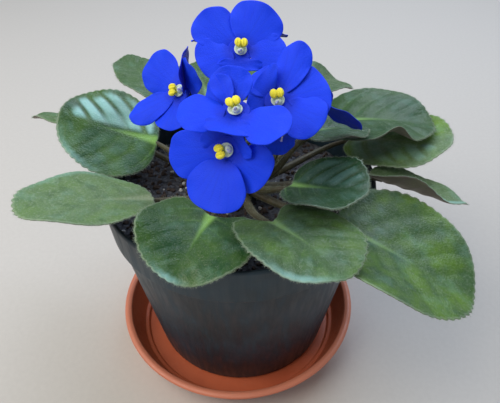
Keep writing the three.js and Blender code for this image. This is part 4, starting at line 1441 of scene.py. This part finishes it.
def soft_light(name, power):
    """A large square softbox that faces the plant."""
    at, size, colour = SOFTBOXES[name]
    data = bpy.data.lights.new(name, "AREA")
    data.shape = "SQUARE"
    data.size = size
    data.energy = power
    data.color = linear(colour)
    light = bpy.data.objects.new(name, data)
    bpy.context.scene.collection.objects.link(light)
    light.location = at
    way = Vector(LIGHT_AIM) - Vector(at)
    light.rotation_euler = way.to_track_quat("-Z", "Y").to_euler()


def set_camera(scene):
    """A camera at the photograph's viewing angle, aimed by its pitch, yaw and roll."""
    cp, sp = math.cos(CAMERA_PITCH), math.sin(CAMERA_PITCH)
    cy, sy = math.cos(CAMERA_YAW), math.sin(CAMERA_YAW)
    cr, sr = math.cos(CAMERA_ROLL), math.sin(CAMERA_ROLL)
    ahead = Vector((sy * cp, cy * cp, -sp))
    right = Vector((cy, -sy, 0))
    up = right.cross(ahead)
    right, up = right * cr + up * sr, up * cr - right * sr
    data = bpy.data.cameras.new("front_camera")
    data.sensor_width = 36
    data.lens = data.sensor_width * FOCAL_PIXELS / FRAME_WIDTH
    data.clip_start = 0.01
    camera = bpy.data.objects.new("front_camera", data)
    scene.collection.objects.link(camera)
    turn = Matrix((right, up, -ahead)).transposed().to_4x4()
    camera.matrix_world = Matrix.Translation(Vector(CAMERA_AT) * MM) @ turn
    scene.camera = camera


class VIOLET_OT_stage(bpy.types.Operator):
    """Set the floor, the soft light and the camera"""
    bl_idname = "violet.stage"
    bl_label = "Stage"

    def execute(self, context):
        scene = context.scene
        look = scene.violet_stage
        half = FLOOR_HALF
        z = CAD_BOX[0][2]
        mesh = bpy.data.meshes.new("studio_floor")
        corners = [(-half, -half, z), (half, -half, z), (half, half, z), (-half, half, z)]
        mesh.from_pydata(corners, [], [(0, 1, 2, 3)])
        mesh.materials.append(studio_board(look))
        floor = bpy.data.objects.new("studio_floor", mesh)
        scene.collection.objects.link(floor)
        soft_light("key_softbox", look.key)
        soft_light("back_window", look.window)
        world = bpy.data.worlds.new("studio_room")
        world.use_nodes = True
        room = world.node_tree.nodes["Background"]
        room.inputs["Color"].default_value = rgba("#eef1f5")
        room.inputs["Strength"].default_value = look.sky
        scene.world = world
        scene.view_settings.view_transform = "Standard"
        set_camera(scene)
        return {"FINISHED"}


# Add-on

SETTINGS = {
    "violet_leaf": VioletLeafSettings,
    "violet_bloom": VioletBloomSettings,
    "violet_pot": VioletPotSettings,
    "violet_stage": VioletStageSettings,
}
OPERATORS = (
    VIOLET_OT_stage, VIOLET_OT_saucer, VIOLET_OT_pot, VIOLET_OT_soil, VIOLET_OT_crown,
    VIOLET_OT_leaves, VIOLET_OT_stalks, VIOLET_OT_petals, VIOLET_OT_anthers,
    VIOLET_OT_pistils,
)


class VIOLET_PT_panel(bpy.types.Panel):
    """The violet's settings and pieces"""
    bl_idname = "VIOLET_PT_panel"
    bl_label = "Potted African Violet"
    bl_space_type = "VIEW_3D"
    bl_region_type = "UI"
    bl_category = "Violet"

    def draw(self, context):
        for name, group in SETTINGS.items():
            box = self.layout.box()
            box.label(text=group.__doc__)
            settings = getattr(context.scene, name)
            for key in group.__annotations__:
                box.prop(settings, key)
        for operator in OPERATORS:
            self.layout.operator(operator.bl_idname)


CLASSES = (*SETTINGS.values(), *OPERATORS, VIOLET_PT_panel)


def register():
    for cls in CLASSES:
        bpy.utils.register_class(cls)
    for name, group in SETTINGS.items():
        setattr(bpy.types.Scene, name, bpy.props.PointerProperty(type=group))


def unregister():
    for name in SETTINGS:
        delattr(bpy.types.Scene, name)
    for cls in reversed(CLASSES):
        bpy.utils.unregister_class(cls)


def main():
    register()
    for operator in OPERATORS:
        group, name = operator.bl_idname.split(".")
        getattr(getattr(bpy.ops, group), name)()
    bpy.context.view_layer.update()


if __name__ == "__main__":
    main()
